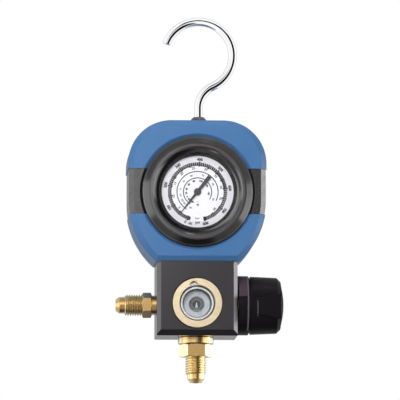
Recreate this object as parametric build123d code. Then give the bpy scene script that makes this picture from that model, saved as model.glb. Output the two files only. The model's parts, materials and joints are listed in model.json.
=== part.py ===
from build123d import *
import os
from math import acos, atan2, cos, degrees, pi, radians, sin, sqrt, tan

# Single-valve refrigerant manifold gauge, in millimetres.
# +X is to the right, the dial faces -Y, +Z is up.
# The origin is the point where the hook rests on whatever it hangs from.

# ---------------------------------------------------------------- clearances
SLIP = 0.05          # radial gap of a fixed piece in its seat
RUNNING = 0.06       # radial gap of a shaft in its bearing
FREE = 0.2           # gap between pieces that turn past each other
SEAM = 0.02          # depth by which one form is sunk into another of the same piece

# ---------------------------------------------------------------- hook
WIRE_D = 4.5
CROOK_R = 17.8       # centre line of the crook
CROOK_TIP_ANGLE = 159.0
TIP_EDGE = 0.5       # chamfer round the cut end of the wire
HOOK_OFFSET = 1.4    # the hook stands this far towards the knob, over the balance point
REVERSE_BEND_R = 12.5
HOOK_THREAD_D = 4.0
HOOK_THREAD_LENGTH = 4.6
HOOK_WASHER_D = 11.0
HOOK_WASHER_T = 0.8
HOOK_NUT_AF = 7.0
HOOK_NUT_T = 3.2
COLLAR_D = 9.2
COLLAR_DOME = 3.5
COLLAR_SLEEVE_D = 7.0
COLLAR_RIM = 0.6
COLLAR_LAND = 0.5
COLLAR_BULGE = 0.9

# ---------------------------------------------------------------- housing
HOUSING_TOP = -51.5
HOUSING_HEIGHT = 73.5
HOUSING_WIDTH = 71.6
HOUSING_DEPTH = 39.0
HOUSING_TOP_R = 22.5
SIDE_STRAIGHT_DROP = 4.0    # the straight sides end this far below the gauge centre
HOUSING_LOWER_R = 43.2
HOUSING_BEVEL = 2.9
HOUSING_WALL = 3.0
OPENING_LIP = 1.5

GRIP_RISE = 12.0     # top of the grips above the gauge centre
GRIP_HEIGHT = 23.5
GRIP_RECESS = 0.4
GRIP_T = 1.4
GRIP_REACH = 10.2    # how far the grip wraps on to the front and back faces

BOSS_R = 3.6
BOSS_UPPER = (25.0, 26.2)    # from the gauge centre
BOSS_LOWER = (24.4, -26.0)
SHELL_SCREW_D = 3.0
SHELL_SCREW_HEAD_D = 5.6
SHELL_SCREW_HEAD_T = 2.0
SHELL_SCREW_LENGTH = 26.0
SHELL_SCREW_RECESS = 3.0
DRIVE_SHARE = 0.28   # drive recess, as a share of a screw's head
HEX_CORNER_SLOPE = 0.6
CASE_REST_R = 17.0
CASE_REST_WALL = 2.0

# ---------------------------------------------------------------- gauge
GAUGE_DROP = 37.4    # gauge centre below the top of the housing
BEZEL_R = 28.5
BEZEL_PROUD = 3.0    # how far the bezel stands out of the housing
BEZEL_RIM_T = 3.1    # axial length of the straight outer rim
BEZEL_SHOULDER = 2.6 # axial length of the outer slope
BEZEL_CREST_R = 25.2
BEZEL_CREST_WIDTH = 1.8
BEZEL_THROAT_R = 20.3
BEZEL_SLOPE = 1.6
BEZEL_HOLLOW = 0.25  # how far the throat is dished
LENS_R = 23.0
LENS_T = 1.4
LENS_SETBACK = 2.1   # lens front behind the bezel's crest
GASKET_INNER_R = 18.6
GASKET_T = 0.7
CASE_R = 25.0
CASE_WALL = 1.0
CASE_DEPTH = 27.3
DIAL_RECESS = 0.7    # dial behind the rim of the case
DIAL_T = 0.6
DIAL_R = 22.8
DIAL_LEDGE_INNER_R = 21.3
DIAL_LEDGE_T = 1.2
DIAL_SCREW_X = 20.8
DIAL_SCREW_D = 0.9
DIAL_SCREW_HEAD_D = 1.7
DIAL_SCREW_HEAD_T = 0.35
DIAL_HOLE_R = 2.0

# ---------------------------------------------------------------- pointer
POINTER_CLOCK = 218.4        # tip direction at rest, clockwise from the top
POINTER_LENGTH = 13.8
POINTER_TAIL = 10.2
POINTER_ROOT_WIDTH = 1.5
POINTER_TIP_WIDTH = 0.35
POINTER_TAIL_WIDTH = 2.2
POINTER_T = 0.3
POINTER_RAISE = 0.9          # pointer in front of the dial
POINTER_HUB_R = 1.8
POINTER_HUB_T = 0.85

# ---------------------------------------------------------------- movement
GEAR_MODULE = 0.25
PINION_TEETH = 12
WHEEL_TEETH = 96             # the sector is cut from a wheel of this count
PRESSURE_ANGLE = 20.0
ADDENDUM = 0.85              # shares of the module
DEDENDUM = 1.25
BACKLASH = 0.07
FLANK_STEPS = 3
SECTOR_AHEAD = 46.0          # degrees of teeth towards rising pressure
SECTOR_BEHIND = 9.0
SECTOR_SETBACK = 2.6         # sector behind the front plate
SECTOR_T = 0.8
SECTOR_RIM = 2.2
SPOKE_WIDTH = 1.5
SPOKE_INSET = 5.0
SECTOR_HUB_R = 1.9
SECTOR_ARBOR_D = 1.4
TAIL_ANGLE = -35.0
TAIL_LENGTH = 4.2
TAIL_WIDTH = 2.4
PIN_D = 0.9
PIN_PROUD = 0.25
PINION_OVERHANG = 0.5
POINTER_ARBOR_D = 1.5
PIVOT_D = 0.8
MOVEMENT_RECESS = 3.8        # front plate behind the dial
PLATE_SPACING = 6.0
PLATE_T = 1.0
PLATE_HALF_WIDTH = 9.8
PLATE_TOP = 5.0
PLATE_BOTTOM = -15.3
PLATE_CORNER_R = 3.0
PILLAR_D = 2.6
PILLARS = [(-7.5, 2.5), (7.5, 2.5), (-7.3, -12.4)]
MOVEMENT_SCREW_D = 1.2
MOVEMENT_SCREW_HEAD_D = 2.2
MOVEMENT_SCREW_HEAD_T = 0.7
MOVEMENT_SCREW_REACH = 2.4
ARM_SCREWS = [(-4.2, -9.5), (4.2, -9.5)]
LINK_T = 0.6
LINK_WIDTH = 1.5
LINK_EYE_R = 1.15
LINK_GAP = 0.25
TIP_PIN = (15.5, -6.0)       # link pin at the end of the tube
SPRING_INNER_R = 1.25
SPRING_TURNS = 4.5
SPRING_PITCH = 0.72
SPRING_STRIP = 0.14
SPRING_HEIGHT = 0.8
SPRING_STEPS = 16            # flats in one turn
SPRING_SETBACK = 0.3         # hairspring behind the front plate
COLLET_R = 1.1
STUD_R = 0.5

# ---------------------------------------------------------------- tube
TUBE_R = 19.0                # centre line of the curved tube
TUBE_RADIAL = 2.6
TUBE_AXIAL = 9.0
TUBE_WALL = 0.35
TUBE_CORNER_SHARE = 0.3   # corners taken off the tube's section, in shares of its radial width
TUBE_LEAD = 1.3              # tube in front of the rear plate
TUBE_ROOT_ANGLE = -104.0
TUBE_TIP_ANGLE = -10.0
TIP_BLOCK = 4.2
EAR_T = 0.8
EAR_R = 1.5
TIP_SHOULDER = 0.3

# ---------------------------------------------------------------- gauge socket
SOCKET_WIDTH = 14.0
SOCKET_TOP = -15.9           # heights here are from the gauge centre
SOCKET_ARM_TOP = -7.6
SOCKET_ARM_T = 3.0
SOCKET_ARM_HALF = 6.0
SOCKET_NECK_R = 5.5
SOCKET_HEX_GAP = 0.1
SOCKET_HEX_AF = 14.0
SOCKET_THREAD_D = 9.73
SOCKET_THREAD_LENGTH = 9.0
SOCKET_BORE_D = 3.0
CASE_SCREW_X = 4.5
CASE_SCREW_HEIGHT = -20.0
CASE_SCREW_D = 2.4
CASE_SCREW_HEAD_D = 4.2
CASE_SCREW_HEAD_T = 1.4
CASE_SCREW_LENGTH = 6.0
SEAL_WASHER_T = 1.0
SEAL_WASHER_R = 7.6

# ---------------------------------------------------------------- manifold block
BLOCK_WIDTH = 41.7
BLOCK_FRONT = -17.0
BLOCK_BACK = 17.4
BLOCK_SUNK = 7.0     # depth of the block inside the housing
BLOCK_HEIGHT = 45.0
BLOCK_EDGE = 2.1
BLOCK_FOOT_EDGE = 2.9
PORT_RISE = 16.7     # port axis above the foot of the block
CHAMBER_R = 4.7
SEAT_WALL = 2.85     # wall between the left port and the chamber
SEAT_ORIFICE_D = 4.4
DRILLING_D = 4.8
BLOCK_SCREW_X = 14.0
BLOCK_SCREW_DROP = 2.4
BLOCK_SCREW_D = 2.5
BLOCK_SCREW_LENGTH = 9.0
BLOCK_SCREW_HEAD_D = 4.4
BLOCK_SCREW_HEAD_T = 1.5
BLOCK_SCREW_RECESS = 0.8

# ---------------------------------------------------------------- sight glass
RING_NUT_R = 12.7
RING_NUT_T = 4.0
RING_NUT_PROUD = 0.2
RING_NUT_BORE_R = 9.3
NOTCH_R = 2.2
NOTCH_CLOCK = -11.0
COUNTERBORE_CHAMFER = 0.6
SIGHT_FRAME_R = 11.0
SIGHT_FRAME_T = 3.0
SIGHT_RIM_R = 8.5
SIGHT_RIM_H = 1.0
SIGHT_GLASS_R = 7.6
SIGHT_GLASS_T = 3.4
SIGHT_GLASS_SETBACK = 0.3
SIGHT_SEAL_T = 0.9
SIGHT_SEAL_INNER_R = 8.0
SIGHT_POCKET_R = 7.3
SIGHT_POCKET_DEPTH = 2.8
SIGHT_CUP_T = 2.0
SIGHT_HOLE_R = 3.9
SIGHT_STEP_R = 2.6

# ---------------------------------------------------------------- flare fittings
FLARE_THREAD_D = 11.11       # 7/16-20 UNF
FLARE_BORE_D = 4.8
FLARE_TIP_D = 6.0
FLARE_ROOT_D = 9.73          # pipe thread that screws into the block
FLARE_ROOT_LENGTH = 8.4
DRILL_TIP = 0.6
THREAD_CHAMFER = 0.6

LEFT_NECK_D = 10.2
LEFT_NECK_LENGTH = 2.15
LEFT_HEX_AF = 11.4
LEFT_HEX_LENGTH = 4.9
LEFT_THREAD_LENGTH = 9.0
LEFT_NOSE_D = 8.6
LEFT_NOSE_LENGTH = 3.1
LEFT_CONE_LENGTH = 1.6

BOTTOM_FLANGE_D = 18.5
BOTTOM_FLANGE_LENGTH = 3.6
FLANGE_EDGE = 0.4
BOTTOM_HEX_AF = 15.3
BOTTOM_HEX_LENGTH = 6.5
BOTTOM_THREAD_LENGTH = 9.0
BOTTOM_NOSE_D = 8.7
BOTTOM_NOSE_LENGTH = 2.7
BOTTOM_CONE_LENGTH = 1.7

# ---------------------------------------------------------------- valve
BONNET_THREAD_R = 8.0
BONNET_DEPTH = 10.0
BONNET_HEX_AF = 17.0
BONNET_HEX_T = 4.2
BONNET_SEAL_T = 0.8
BONNET_SEAL_R = 9.6
BONNET_TOWER_R = 5.6
BONNET_TOWER_LENGTH = 3.0
STEM_R = 3.5
STEM_THREAD_R = 4.0
STEM_THREAD_LEAD = 0.35
STEM_THREAD_LENGTH = 4.5
BONNET_SCREW_LENGTH = 7.65   # threaded part of the bonnet's bore
STEM_NOSE_R = 2.0
STEM_NOSE_LENGTH = 3.0
STEM_SQUARE = 4.8
SQUARE_LEAD = 0.7
STEM_SQUARE_LENGTH = 7.4
PACKING_SECTION_R = 0.5
PACKING_SIDES = 8
PACKING_LEADS = [0.35, 3.55]  # packing rings in front of the block's face
PACKING_GROOVE_R = 2.5
PACKING_GROOVE_WIDTH = 1.3
PISTON_R = 4.3
PISTON_LENGTH = 6.0
SEAT_DISC_R = 3.4
SEAT_DISC_T = 1.5
SEAT_DISC_LIP = 0.3
SEAT_GAP = 0.05
NOSE_END_GAP = 0.2

# ---------------------------------------------------------------- knob
KNOB_GAP = 0.85      # between the block and the closed knob
KNOB_LENGTH = 22.1
KNOB_SKIRT_R = 15.4
KNOB_SKIRT_LENGTH = 5.5
KNOB_GROOVE_WIDTH = 0.9
KNOB_GROOVE_DEPTH = 0.7
KNOB_BODY_R = 15.1
KNOB_END_R = 14.5
KNOB_END_CHAMFER = 2.0
KNOB_PAD_LEAD = 8.6
KNOB_PAD_TURN = 5.5  # pads turned from straight front and back
KNOB_PAD_HALF_START = 3.9
KNOB_PAD_HALF_END = 6.8
KNOB_PAD_RISE = 0.5
KNOB_PAD_EDGE = 0.4
KNOB_SKIRT_EDGE = 0.4
KNOB_CAVITY_R = 12.6
KNOB_CAVITY_DEPTH = 8.6
KNOB_SCREW_D = 2.9
KNOB_SCREW_LENGTH = 9.0
KNOB_SCREW_HEAD_D = 6.0
KNOB_SCREW_HEAD_T = 1.9
KNOB_WEB = 3.0       # between the stem's square and the screw head
CAP_R = 10.6
CAP_RECESS = 1.6
CAP_EDGE_RISE = 0.3
CAP_DOME = 1.4
CAP_SPIGOT_R = 6.0
CAP_SPIGOT_WALL = 1.6
CAP_SPIGOT_LENGTH = 1.5
CAP_RING_PITCH = 1.7
CAP_RING_DEPTH = 0.35

# ---------------------------------------------------------------- worked out
HALF_WIDTH = HOUSING_WIDTH / 2
HALF_DEPTH = HOUSING_DEPTH / 2
HOUSING_BOTTOM = HOUSING_TOP - HOUSING_HEIGHT
GAUGE_Z = HOUSING_TOP - GAUGE_DROP
SIDE_STRAIGHT_END = GAUGE_Z - SIDE_STRAIGHT_DROP
GRIP_TOP = GAUGE_Z + GRIP_RISE
CROOK_Z = -(CROOK_R - WIRE_D / 2)
REVERSE_Z = CROOK_Z - sqrt((CROOK_R + REVERSE_BEND_R) ** 2 - REVERSE_BEND_R ** 2)
CEILING = HOUSING_TOP - HOUSING_WALL
HOOK_SHOULDER_Z = CEILING - RUNNING
BEZEL_FRONT = -HALF_DEPTH - BEZEL_PROUD
LENS_FRONT = BEZEL_FRONT + LENS_SETBACK
GASKET_FRONT = LENS_FRONT + LENS_T
CASE_FRONT = GASKET_FRONT + GASKET_T
CASE_BACK = CASE_FRONT + CASE_DEPTH
CASE_FLOOR = CASE_BACK - CASE_WALL
DIAL_FRONT = CASE_FRONT + DIAL_RECESS
DIAL_BACK = DIAL_FRONT + DIAL_T
BEZEL_BACK = BEZEL_FRONT + BEZEL_SHOULDER + BEZEL_RIM_T
POINTER_FRONT = DIAL_FRONT - POINTER_RAISE
WHEEL_R = GEAR_MODULE * WHEEL_TEETH / 2
PINION_R = GEAR_MODULE * PINION_TEETH / 2
SECTOR_Z = GAUGE_Z - WHEEL_R - PINION_R
FRONT_PLATE_FRONT = DIAL_BACK + MOVEMENT_RECESS
FRONT_PLATE_BACK = FRONT_PLATE_FRONT + PLATE_T
REAR_PLATE_FRONT = FRONT_PLATE_BACK + PLATE_SPACING
REAR_PLATE_BACK = REAR_PLATE_FRONT + PLATE_T
SECTOR_FRONT = FRONT_PLATE_BACK + SECTOR_SETBACK
SPRING_FRONT = FRONT_PLATE_BACK + SPRING_SETBACK
LINK_FRONT = SECTOR_FRONT - LINK_GAP - LINK_T
EAR_FRONT = LINK_FRONT + LINK_T + LINK_GAP
TUBE_FRONT = REAR_PLATE_FRONT - TUBE_LEAD
BLOCK_TOP = HOUSING_BOTTOM + BLOCK_SUNK
BLOCK_BOTTOM = BLOCK_TOP - BLOCK_HEIGHT
BLOCK_SCREW_Z = BLOCK_TOP - BLOCK_SCREW_DROP
PORT_Z = BLOCK_BOTTOM + PORT_RISE
PORT_FACE = BLOCK_WIDTH / 2
CHAMBER_LEFT = -PORT_FACE + FLARE_ROOT_LENGTH + DRILL_TIP + SEAT_WALL
RING_NUT_BACK = BLOCK_FRONT - RING_NUT_PROUD + RING_NUT_T
SIGHT_FRAME_BACK = RING_NUT_BACK + SIGHT_FRAME_T
SIGHT_SEAL_BACK = SIGHT_FRAME_BACK + SIGHT_SEAL_T
SIGHT_FLOOR = SIGHT_SEAL_BACK + SIGHT_POCKET_DEPTH
BONNET_FLOOR = PORT_FACE - BONNET_DEPTH
BONNET_THREAD_END = BONNET_FLOOR + BONNET_SCREW_LENGTH
STEM_THREAD_START = BONNET_FLOOR + STEM_THREAD_LEAD
KNOB_START = PORT_FACE + KNOB_GAP
KNOB_END = KNOB_START + KNOB_LENGTH
KNOB_SHOULDER = KNOB_END - KNOB_END_CHAMFER
KNOB_PAD_START = KNOB_START + KNOB_PAD_LEAD
KNOB_CAVITY_END = KNOB_START + KNOB_CAVITY_DEPTH
SEAT_DISC_LEFT = CHAMBER_LEFT + SEAT_GAP
PISTON_LEFT = SEAT_DISC_LEFT + SEAT_DISC_LIP
PISTON_RIGHT = PISTON_LEFT + PISTON_LENGTH
STEM_LEFT = PISTON_RIGHT + RUNNING
SQUARE_START = KNOB_CAVITY_END - SQUARE_LEAD
SQUARE_END = SQUARE_START + STEM_SQUARE_LENGTH
KNOB_SCREW_SEAT = SQUARE_END + KNOB_WEB
CAP_SEAT = KNOB_END - CAP_RECESS

# ---------------------------------------------------------------- shape helpers
def rod_x(radius, x0, x1, y=0.0, z=PORT_Z):
    """Round bar along X."""
    return Pos((x0 + x1) / 2, y, z) * Rot(0, 90, 0) * Cylinder(radius, abs(x1 - x0))


def rod_y(radius, y0, y1, x=0.0, z=GAUGE_Z):
    """Round bar along Y."""
    return Pos(x, (y0 + y1) / 2, z) * Rot(90, 0, 0) * Cylinder(radius, abs(y1 - y0))


def rod_z(radius, z0, z1, x=0.0, y=0.0):
    """Round bar along Z."""
    return Pos(x, y, (z0 + z1) / 2) * Cylinder(radius, abs(z1 - z0))


def brick(x0, x1, y0, y1, z0, z1):
    """Box between two corners."""
    size = Box(x1 - x0, y1 - y0, z1 - z0)
    return Pos((x0 + x1) / 2, (y0 + y1) / 2, (z0 + z1) / 2) * size


def turned_x(points, z=PORT_Z):
    """Body turned about an X axis from (x, radius) points."""
    face = Pos(0, 0, z) * Polygon(*points, align=None)
    return revolve(face, Axis((0, 0, z), (1, 0, 0)))


def turned_y(points, x=0.0, z=GAUGE_Z):
    """Body turned about a Y axis from (radius, y) points."""
    face = Pos(x, 0, z) * Polygon(*points, align=None)
    return revolve(face, Axis((x, 0, z), (0, 1, 0)))


def turned_z(points):
    """Body turned about the Z axis from (radius, z) points."""
    return revolve(Plane.XZ * Polygon(*points, align=None), Axis.Z)


def ring_y(outer, inner, y0, y1, z=GAUGE_Z):
    """Flat ring about a Y axis."""
    return rod_y(outer, y0, y1, z=z) - rod_y(inner, y0, y1, z=z)


def upright(sketch, y_front, y_back):
    """Prism of a sketch drawn in X and Z, between two depths."""
    plane = Plane(origin=(0, y_back, 0), x_dir=(1, 0, 0), z_dir=(0, -1, 0))
    return extrude(plane * sketch, amount=y_back - y_front)


def hex_x(flats, x0, x1):
    """Hexagon bar along X, flats to the front, with its corners turned off."""
    plane = Plane(origin=(x0, 0, PORT_Z), x_dir=(0, 1, 0), z_dir=(1, 0, 0))
    bar = extrude(plane * RegularPolygon(flats / 2, 6, major_radius=False, rotation=90), x1 - x0)
    corner = flats / sqrt(3)
    run = (corner - flats / 2) * HEX_CORNER_SLOPE
    turned = [(x0, 0), (x0, flats / 2), (x0 + run, corner), (x1 - run, corner), (x1, flats / 2), (x1, 0)]
    return bar & turned_x(turned)


def hex_z(flats, z0, z1):
    """Hexagon bar along Z, flats to the front, with its corners turned off."""
    bar = extrude(Pos(0, 0, z0) * RegularPolygon(flats / 2, 6, major_radius=False), z1 - z0)
    corner = flats / sqrt(3)
    run = (corner - flats / 2) * HEX_CORNER_SLOPE
    turned = [(0, z0), (flats / 2, z0), (corner, z0 + run), (corner, z1 - run), (flats / 2, z1), (0, z1)]
    return bar & turned_z(turned)


def screw_y(x, z, seat, length, shank_d, head_d, head_t, towards=1):
    """Screw along Y with its head outside the seat; towards=1 puts the head at the back."""
    shank = rod_y(shank_d / 2, seat - towards * length, seat, x, z)
    head = rod_y(head_d / 2, seat, seat + towards * head_t, x, z)
    top = seat + towards * head_t
    drive = rod_y(head_d * DRIVE_SHARE, top - towards * head_t * DRIVE_SHARE, top, x, z)
    return shank + head - drive


# ---------------------------------------------------------------- hook
def hook():
    """Open crook, reverse bend and straight stem of one bent wire, with a threaded end."""
    join = degrees(atan2(REVERSE_Z - CROOK_Z, REVERSE_BEND_R))
    crook = CenterArc((0, CROOK_Z), CROOK_R, CROOK_TIP_ANGLE, join - CROOK_TIP_ANGLE)
    bend = CenterArc((REVERSE_BEND_R, REVERSE_Z), REVERSE_BEND_R, 180 + join, -join)
    stem = Line((0, REVERSE_Z), (0, HOOK_SHOULDER_Z))
    path = Plane.XZ * Wire([crook.edge(), bend.edge(), stem.edge()])
    start = Plane(origin=path @ 0, z_dir=path % 0)
    wire = sweep(start * Circle(WIRE_D / 2), path)
    cut = Plane(origin=path @ 0, z_dir=-(path % 0))
    tip = cut * Cone(WIRE_D / 2, WIRE_D / 2 - TIP_EDGE, TIP_EDGE, align=(Align.CENTER, Align.CENTER, Align.MIN))
    thread = rod_z(HOOK_THREAD_D / 2, HOOK_SHOULDER_Z - HOOK_THREAD_LENGTH, HOOK_SHOULDER_Z)
    return wire + tip + thread


def hook_washer():
    """Washer under the housing's top wall, on the shoulder of the stem."""
    bottom = HOOK_SHOULDER_Z - HOOK_WASHER_T
    disc = rod_z(HOOK_WASHER_D / 2, bottom, HOOK_SHOULDER_Z)
    return disc - rod_z(HOOK_THREAD_D / 2 + SLIP, bottom, HOOK_SHOULDER_Z)


def hook_nut():
    """Nut that keeps the hook in the housing and lets it swivel."""
    top = HOOK_SHOULDER_Z - HOOK_WASHER_T
    body = hex_z(HOOK_NUT_AF, top - HOOK_NUT_T, top)
    return body - rod_z(HOOK_THREAD_D / 2 + SLIP, top - HOOK_NUT_T, top)


def hook_collar():
    """Domed bush that the hook turns in, trapped between the two shells."""
    outer = COLLAR_D / 2
    bore = WIRE_D / 2 + RUNNING
    crown = HOUSING_TOP + COLLAR_DOME
    foot = CEILING + FREE
    sleeve = COLLAR_SLEEVE_D / 2
    edges = [
        Line((bore, foot), (sleeve, foot)),
        Line((sleeve, foot), (sleeve, HOUSING_TOP)),
        Line((sleeve, HOUSING_TOP), (outer, HOUSING_TOP)),
        Line((outer, HOUSING_TOP), (outer, HOUSING_TOP + COLLAR_RIM)),
        ThreePointArc(
            (outer, HOUSING_TOP + COLLAR_RIM),
            (outer - COLLAR_BULGE, crown - COLLAR_BULGE),
            (bore + COLLAR_LAND, crown),
        ),
        Line((bore + COLLAR_LAND, crown), (bore, crown)),
        Line((bore, crown), (bore, foot)),
    ]
    return revolve(Plane.XZ * make_face(edges), Axis.Z)


# ---------------------------------------------------------------- housing
def outline(inset):
    """Front outline of the housing moved inwards, drawn in X and Z."""
    top_c = (HALF_WIDTH - HOUSING_TOP_R, HOUSING_TOP - HOUSING_TOP_R)
    low_c = (HALF_WIDTH - HOUSING_LOWER_R, SIDE_STRAIGHT_END)
    low_r = HOUSING_LOWER_R - inset
    side = HALF_WIDTH - inset
    bottom = HOUSING_BOTTOM + inset
    drop = low_c[1] - bottom
    bottom_x = low_c[0] + sqrt(low_r ** 2 - drop ** 2)
    sweep_angle = degrees(atan2(drop, bottom_x - low_c[0]))
    half = [
        Line((0, bottom), (bottom_x, bottom)),
        CenterArc(low_c, low_r, -sweep_angle, sweep_angle),
        Line((side, low_c[1]), (side, top_c[1])),
        CenterArc(top_c, HOUSING_TOP_R - inset, 0, 90),
        Line((top_c[0], HOUSING_TOP - inset), (0, HOUSING_TOP - inset)),
    ]
    other = [mirror(edge, about=Plane.YZ).edge() for edge in half]
    return make_face(half + other)


def housing_envelope(inset):
    """The housing's bevelled outer form, with every face moved inwards by inset."""
    body = upright(outline(inset), inset - HALF_DEPTH, HALF_DEPTH - inset)
    bevel = HOUSING_BEVEL - inset * (2 - sqrt(2))
    ends = body.faces().sort_by(Axis.Y)
    return chamfer(ends[0].edges() + ends[-1].edges(), bevel)


def side_zone(side, extra=0.0):
    """Box over one side of the housing where the grip lies."""
    inner = HALF_WIDTH - GRIP_REACH - extra
    low = GRIP_TOP - GRIP_HEIGHT - extra
    zone = brick(inner, HALF_WIDTH + 1, -HALF_DEPTH - 1, HALF_DEPTH + 1, low, GRIP_TOP + extra)
    return zone if side > 0 else mirror(zone, about=Plane.YZ)


def gauge_opening():
    """Round opening in the front, with its chamfered lip."""
    radius = BEZEL_R + FREE
    front = -HALF_DEPTH
    hole = rod_y(radius, front - 1, front + HOUSING_WALL + 1)
    lip = turned_y([
        (0, front - 1),
        (radius + OPENING_LIP + 1, front - 1),
        (radius, front + OPENING_LIP),
        (0, front + OPENING_LIP),
    ])
    return hole + lip


def block_section(gap=0.0):
    """Plan of the manifold block, with chamfered corners."""
    depth = BLOCK_BACK - BLOCK_FRONT
    plan = Rectangle(BLOCK_WIDTH + 2 * gap, depth + 2 * gap)
    return Pos(0, (BLOCK_FRONT + BLOCK_BACK) / 2) * chamfer(plan.vertices(), BLOCK_EDGE)


def bosses():
    """Centres of the four screw bosses, in X and Z."""
    return [(side * x, GAUGE_Z + z) for x, z in (BOSS_UPPER, BOSS_LOWER) for side in (-1, 1)]


def housing_shell():
    """Both halves of the hollow housing as one, with all its openings but no screw holes."""
    cavity_inset = HOUSING_WALL
    shell = housing_envelope(0) - housing_envelope(cavity_inset)
    inner = HALF_DEPTH - HOUSING_WALL
    posts = [rod_y(BOSS_R, -inner - SEAM, inner + SEAM, x, z) for x, z in bosses()]
    for post in posts:
        shell += post
    shell -= gauge_opening()
    shell -= extrude(Pos(0, 0, HOUSING_BOTTOM - 1) * block_section(SLIP), BLOCK_TOP - HOUSING_BOTTOM + 1)
    shell -= rod_z(COLLAR_SLEEVE_D / 2 + SLIP, CEILING - 1, HOUSING_TOP + 1, HOOK_OFFSET)
    under_grip = housing_envelope(GRIP_RECESS + GRIP_T)
    for side in (-1, 1):
        shell -= side_zone(side, SLIP) - under_grip
    return shell


def front_housing(shell):
    """Front half, with blind pilot holes for the shell screws."""
    half = shell & brick(-HALF_WIDTH, HALF_WIDTH, -HALF_DEPTH, 0, HOUSING_BOTTOM, HOUSING_TOP)
    seat = HALF_DEPTH - SHELL_SCREW_RECESS
    for x, z in bosses():
        half -= rod_y(SHELL_SCREW_D / 2 + SLIP, seat - SHELL_SCREW_LENGTH - 1, 0, x, z)
    return half


def rear_housing(shell):
    """Back half, with the screw holes and the ring that the case leans on."""
    half = shell & brick(-HALF_WIDTH, HALF_WIDTH, 0, HALF_DEPTH, HOUSING_BOTTOM, HOUSING_TOP)
    half += ring_y(CASE_REST_R, CASE_REST_R - CASE_REST_WALL, CASE_BACK, HALF_DEPTH - HOUSING_WALL + SEAM)
    seat = HALF_DEPTH - SHELL_SCREW_RECESS
    for x, z in bosses():
        half -= rod_y(SHELL_SCREW_D / 2 + FREE, 0, seat, x, z)
        half -= rod_y(SHELL_SCREW_HEAD_D / 2 + FREE, seat, HALF_DEPTH, x, z)
    seat = HALF_DEPTH - BLOCK_SCREW_RECESS
    for x in (-BLOCK_SCREW_X, BLOCK_SCREW_X):
        half -= rod_y(BLOCK_SCREW_D / 2 + FREE, BLOCK_BACK, HALF_DEPTH, x, BLOCK_SCREW_Z)
        half -= rod_y(BLOCK_SCREW_HEAD_D / 2 + FREE, seat, HALF_DEPTH, x, BLOCK_SCREW_Z)
    return half


def side_grip(side):
    """Soft pad wrapped round one side of both shells, from the dial opening to the back."""
    layer = housing_envelope(GRIP_RECESS) - housing_envelope(GRIP_RECESS + GRIP_T)
    return (layer & side_zone(side)) - gauge_opening()


def housing_screws():
    """Four screws that join the shells from the back."""
    seat = HALF_DEPTH - SHELL_SCREW_RECESS
    return [
        screw_y(x, z, seat, SHELL_SCREW_LENGTH, SHELL_SCREW_D, SHELL_SCREW_HEAD_D, SHELL_SCREW_HEAD_T)
        for x, z in bosses()
    ]


def block_screws():
    """Two screws that hold the block to the rear shell."""
    seat = HALF_DEPTH - BLOCK_SCREW_RECESS
    sizes = (BLOCK_SCREW_D, BLOCK_SCREW_HEAD_D, BLOCK_SCREW_HEAD_T)
    return [
        screw_y(x, BLOCK_SCREW_Z, seat, BLOCK_SCREW_LENGTH, *sizes)
        for x in (-BLOCK_SCREW_X, BLOCK_SCREW_X)
    ]


# ---------------------------------------------------------------- gauge
def bezel():
    """Black front ring: sloped shoulder, flat crest and a hollow throat down to the lens."""
    bore = CASE_R + SLIP
    seat = LENS_R + SLIP
    crest_inner = BEZEL_CREST_R - BEZEL_CREST_WIDTH
    throat = (BEZEL_THROAT_R, BEZEL_FRONT + BEZEL_SLOPE)
    middle = ((crest_inner + throat[0]) / 2, (BEZEL_FRONT + throat[1]) / 2)
    corners = [
        throat,
        (BEZEL_THROAT_R, LENS_FRONT),
        (seat, LENS_FRONT),
        (seat, GASKET_FRONT),
        (bore, GASKET_FRONT),
        (bore, BEZEL_BACK),
        (BEZEL_R, BEZEL_BACK),
        (BEZEL_R, BEZEL_FRONT + BEZEL_SHOULDER),
        (BEZEL_CREST_R, BEZEL_FRONT),
        (crest_inner, BEZEL_FRONT),
    ]
    hollow = (middle[0] + BEZEL_HOLLOW, middle[1] + BEZEL_HOLLOW)
    edges = [Line(a, b) for a, b in zip(corners, corners[1:])]
    edges.append(ThreePointArc(corners[-1], hollow, throat))
    return revolve(Pos(0, 0, GAUGE_Z) * make_face(edges), Axis((0, 0, GAUGE_Z), (0, 1, 0)))


def lens():
    """Clear window over the dial."""
    return rod_y(LENS_R, LENS_FRONT, GASKET_FRONT)


def lens_gasket():
    """Black ring between the lens and the rim of the case."""
    return ring_y(CASE_R, GASKET_INNER_R, GASKET_FRONT, CASE_FRONT)


def gauge_case():
    """Deep drawn cup with a ledge for the dial."""
    inner = CASE_R - CASE_WALL
    case = rod_y(CASE_R, CASE_FRONT, CASE_BACK) - rod_y(inner, CASE_FRONT, CASE_FLOOR)
    case += ring_y(inner + SEAM, DIAL_LEDGE_INNER_R, DIAL_BACK, DIAL_BACK + DIAL_LEDGE_T)
    case -= rod_z(SOCKET_NECK_R + SLIP, GAUGE_Z - CASE_R - 1, GAUGE_Z - inner + 1)
    for x in (-CASE_SCREW_X, CASE_SCREW_X):
        case -= rod_y(CASE_SCREW_D / 2 + SLIP, CASE_FLOOR, CASE_BACK, x, GAUGE_Z + CASE_SCREW_HEIGHT)
    for x in (-DIAL_SCREW_X, DIAL_SCREW_X):
        case -= rod_y(DIAL_SCREW_D / 2 + SLIP, DIAL_BACK, DIAL_BACK + DIAL_LEDGE_T, x)
    return case


def dial():
    """Printed dial plate."""
    plate = rod_y(DIAL_R, DIAL_FRONT, DIAL_BACK) - rod_y(DIAL_HOLE_R, DIAL_FRONT, DIAL_BACK)
    for x in (-DIAL_SCREW_X, DIAL_SCREW_X):
        plate -= rod_y(DIAL_SCREW_D / 2 + SLIP, DIAL_FRONT, DIAL_BACK, x)
    return plate


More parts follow.
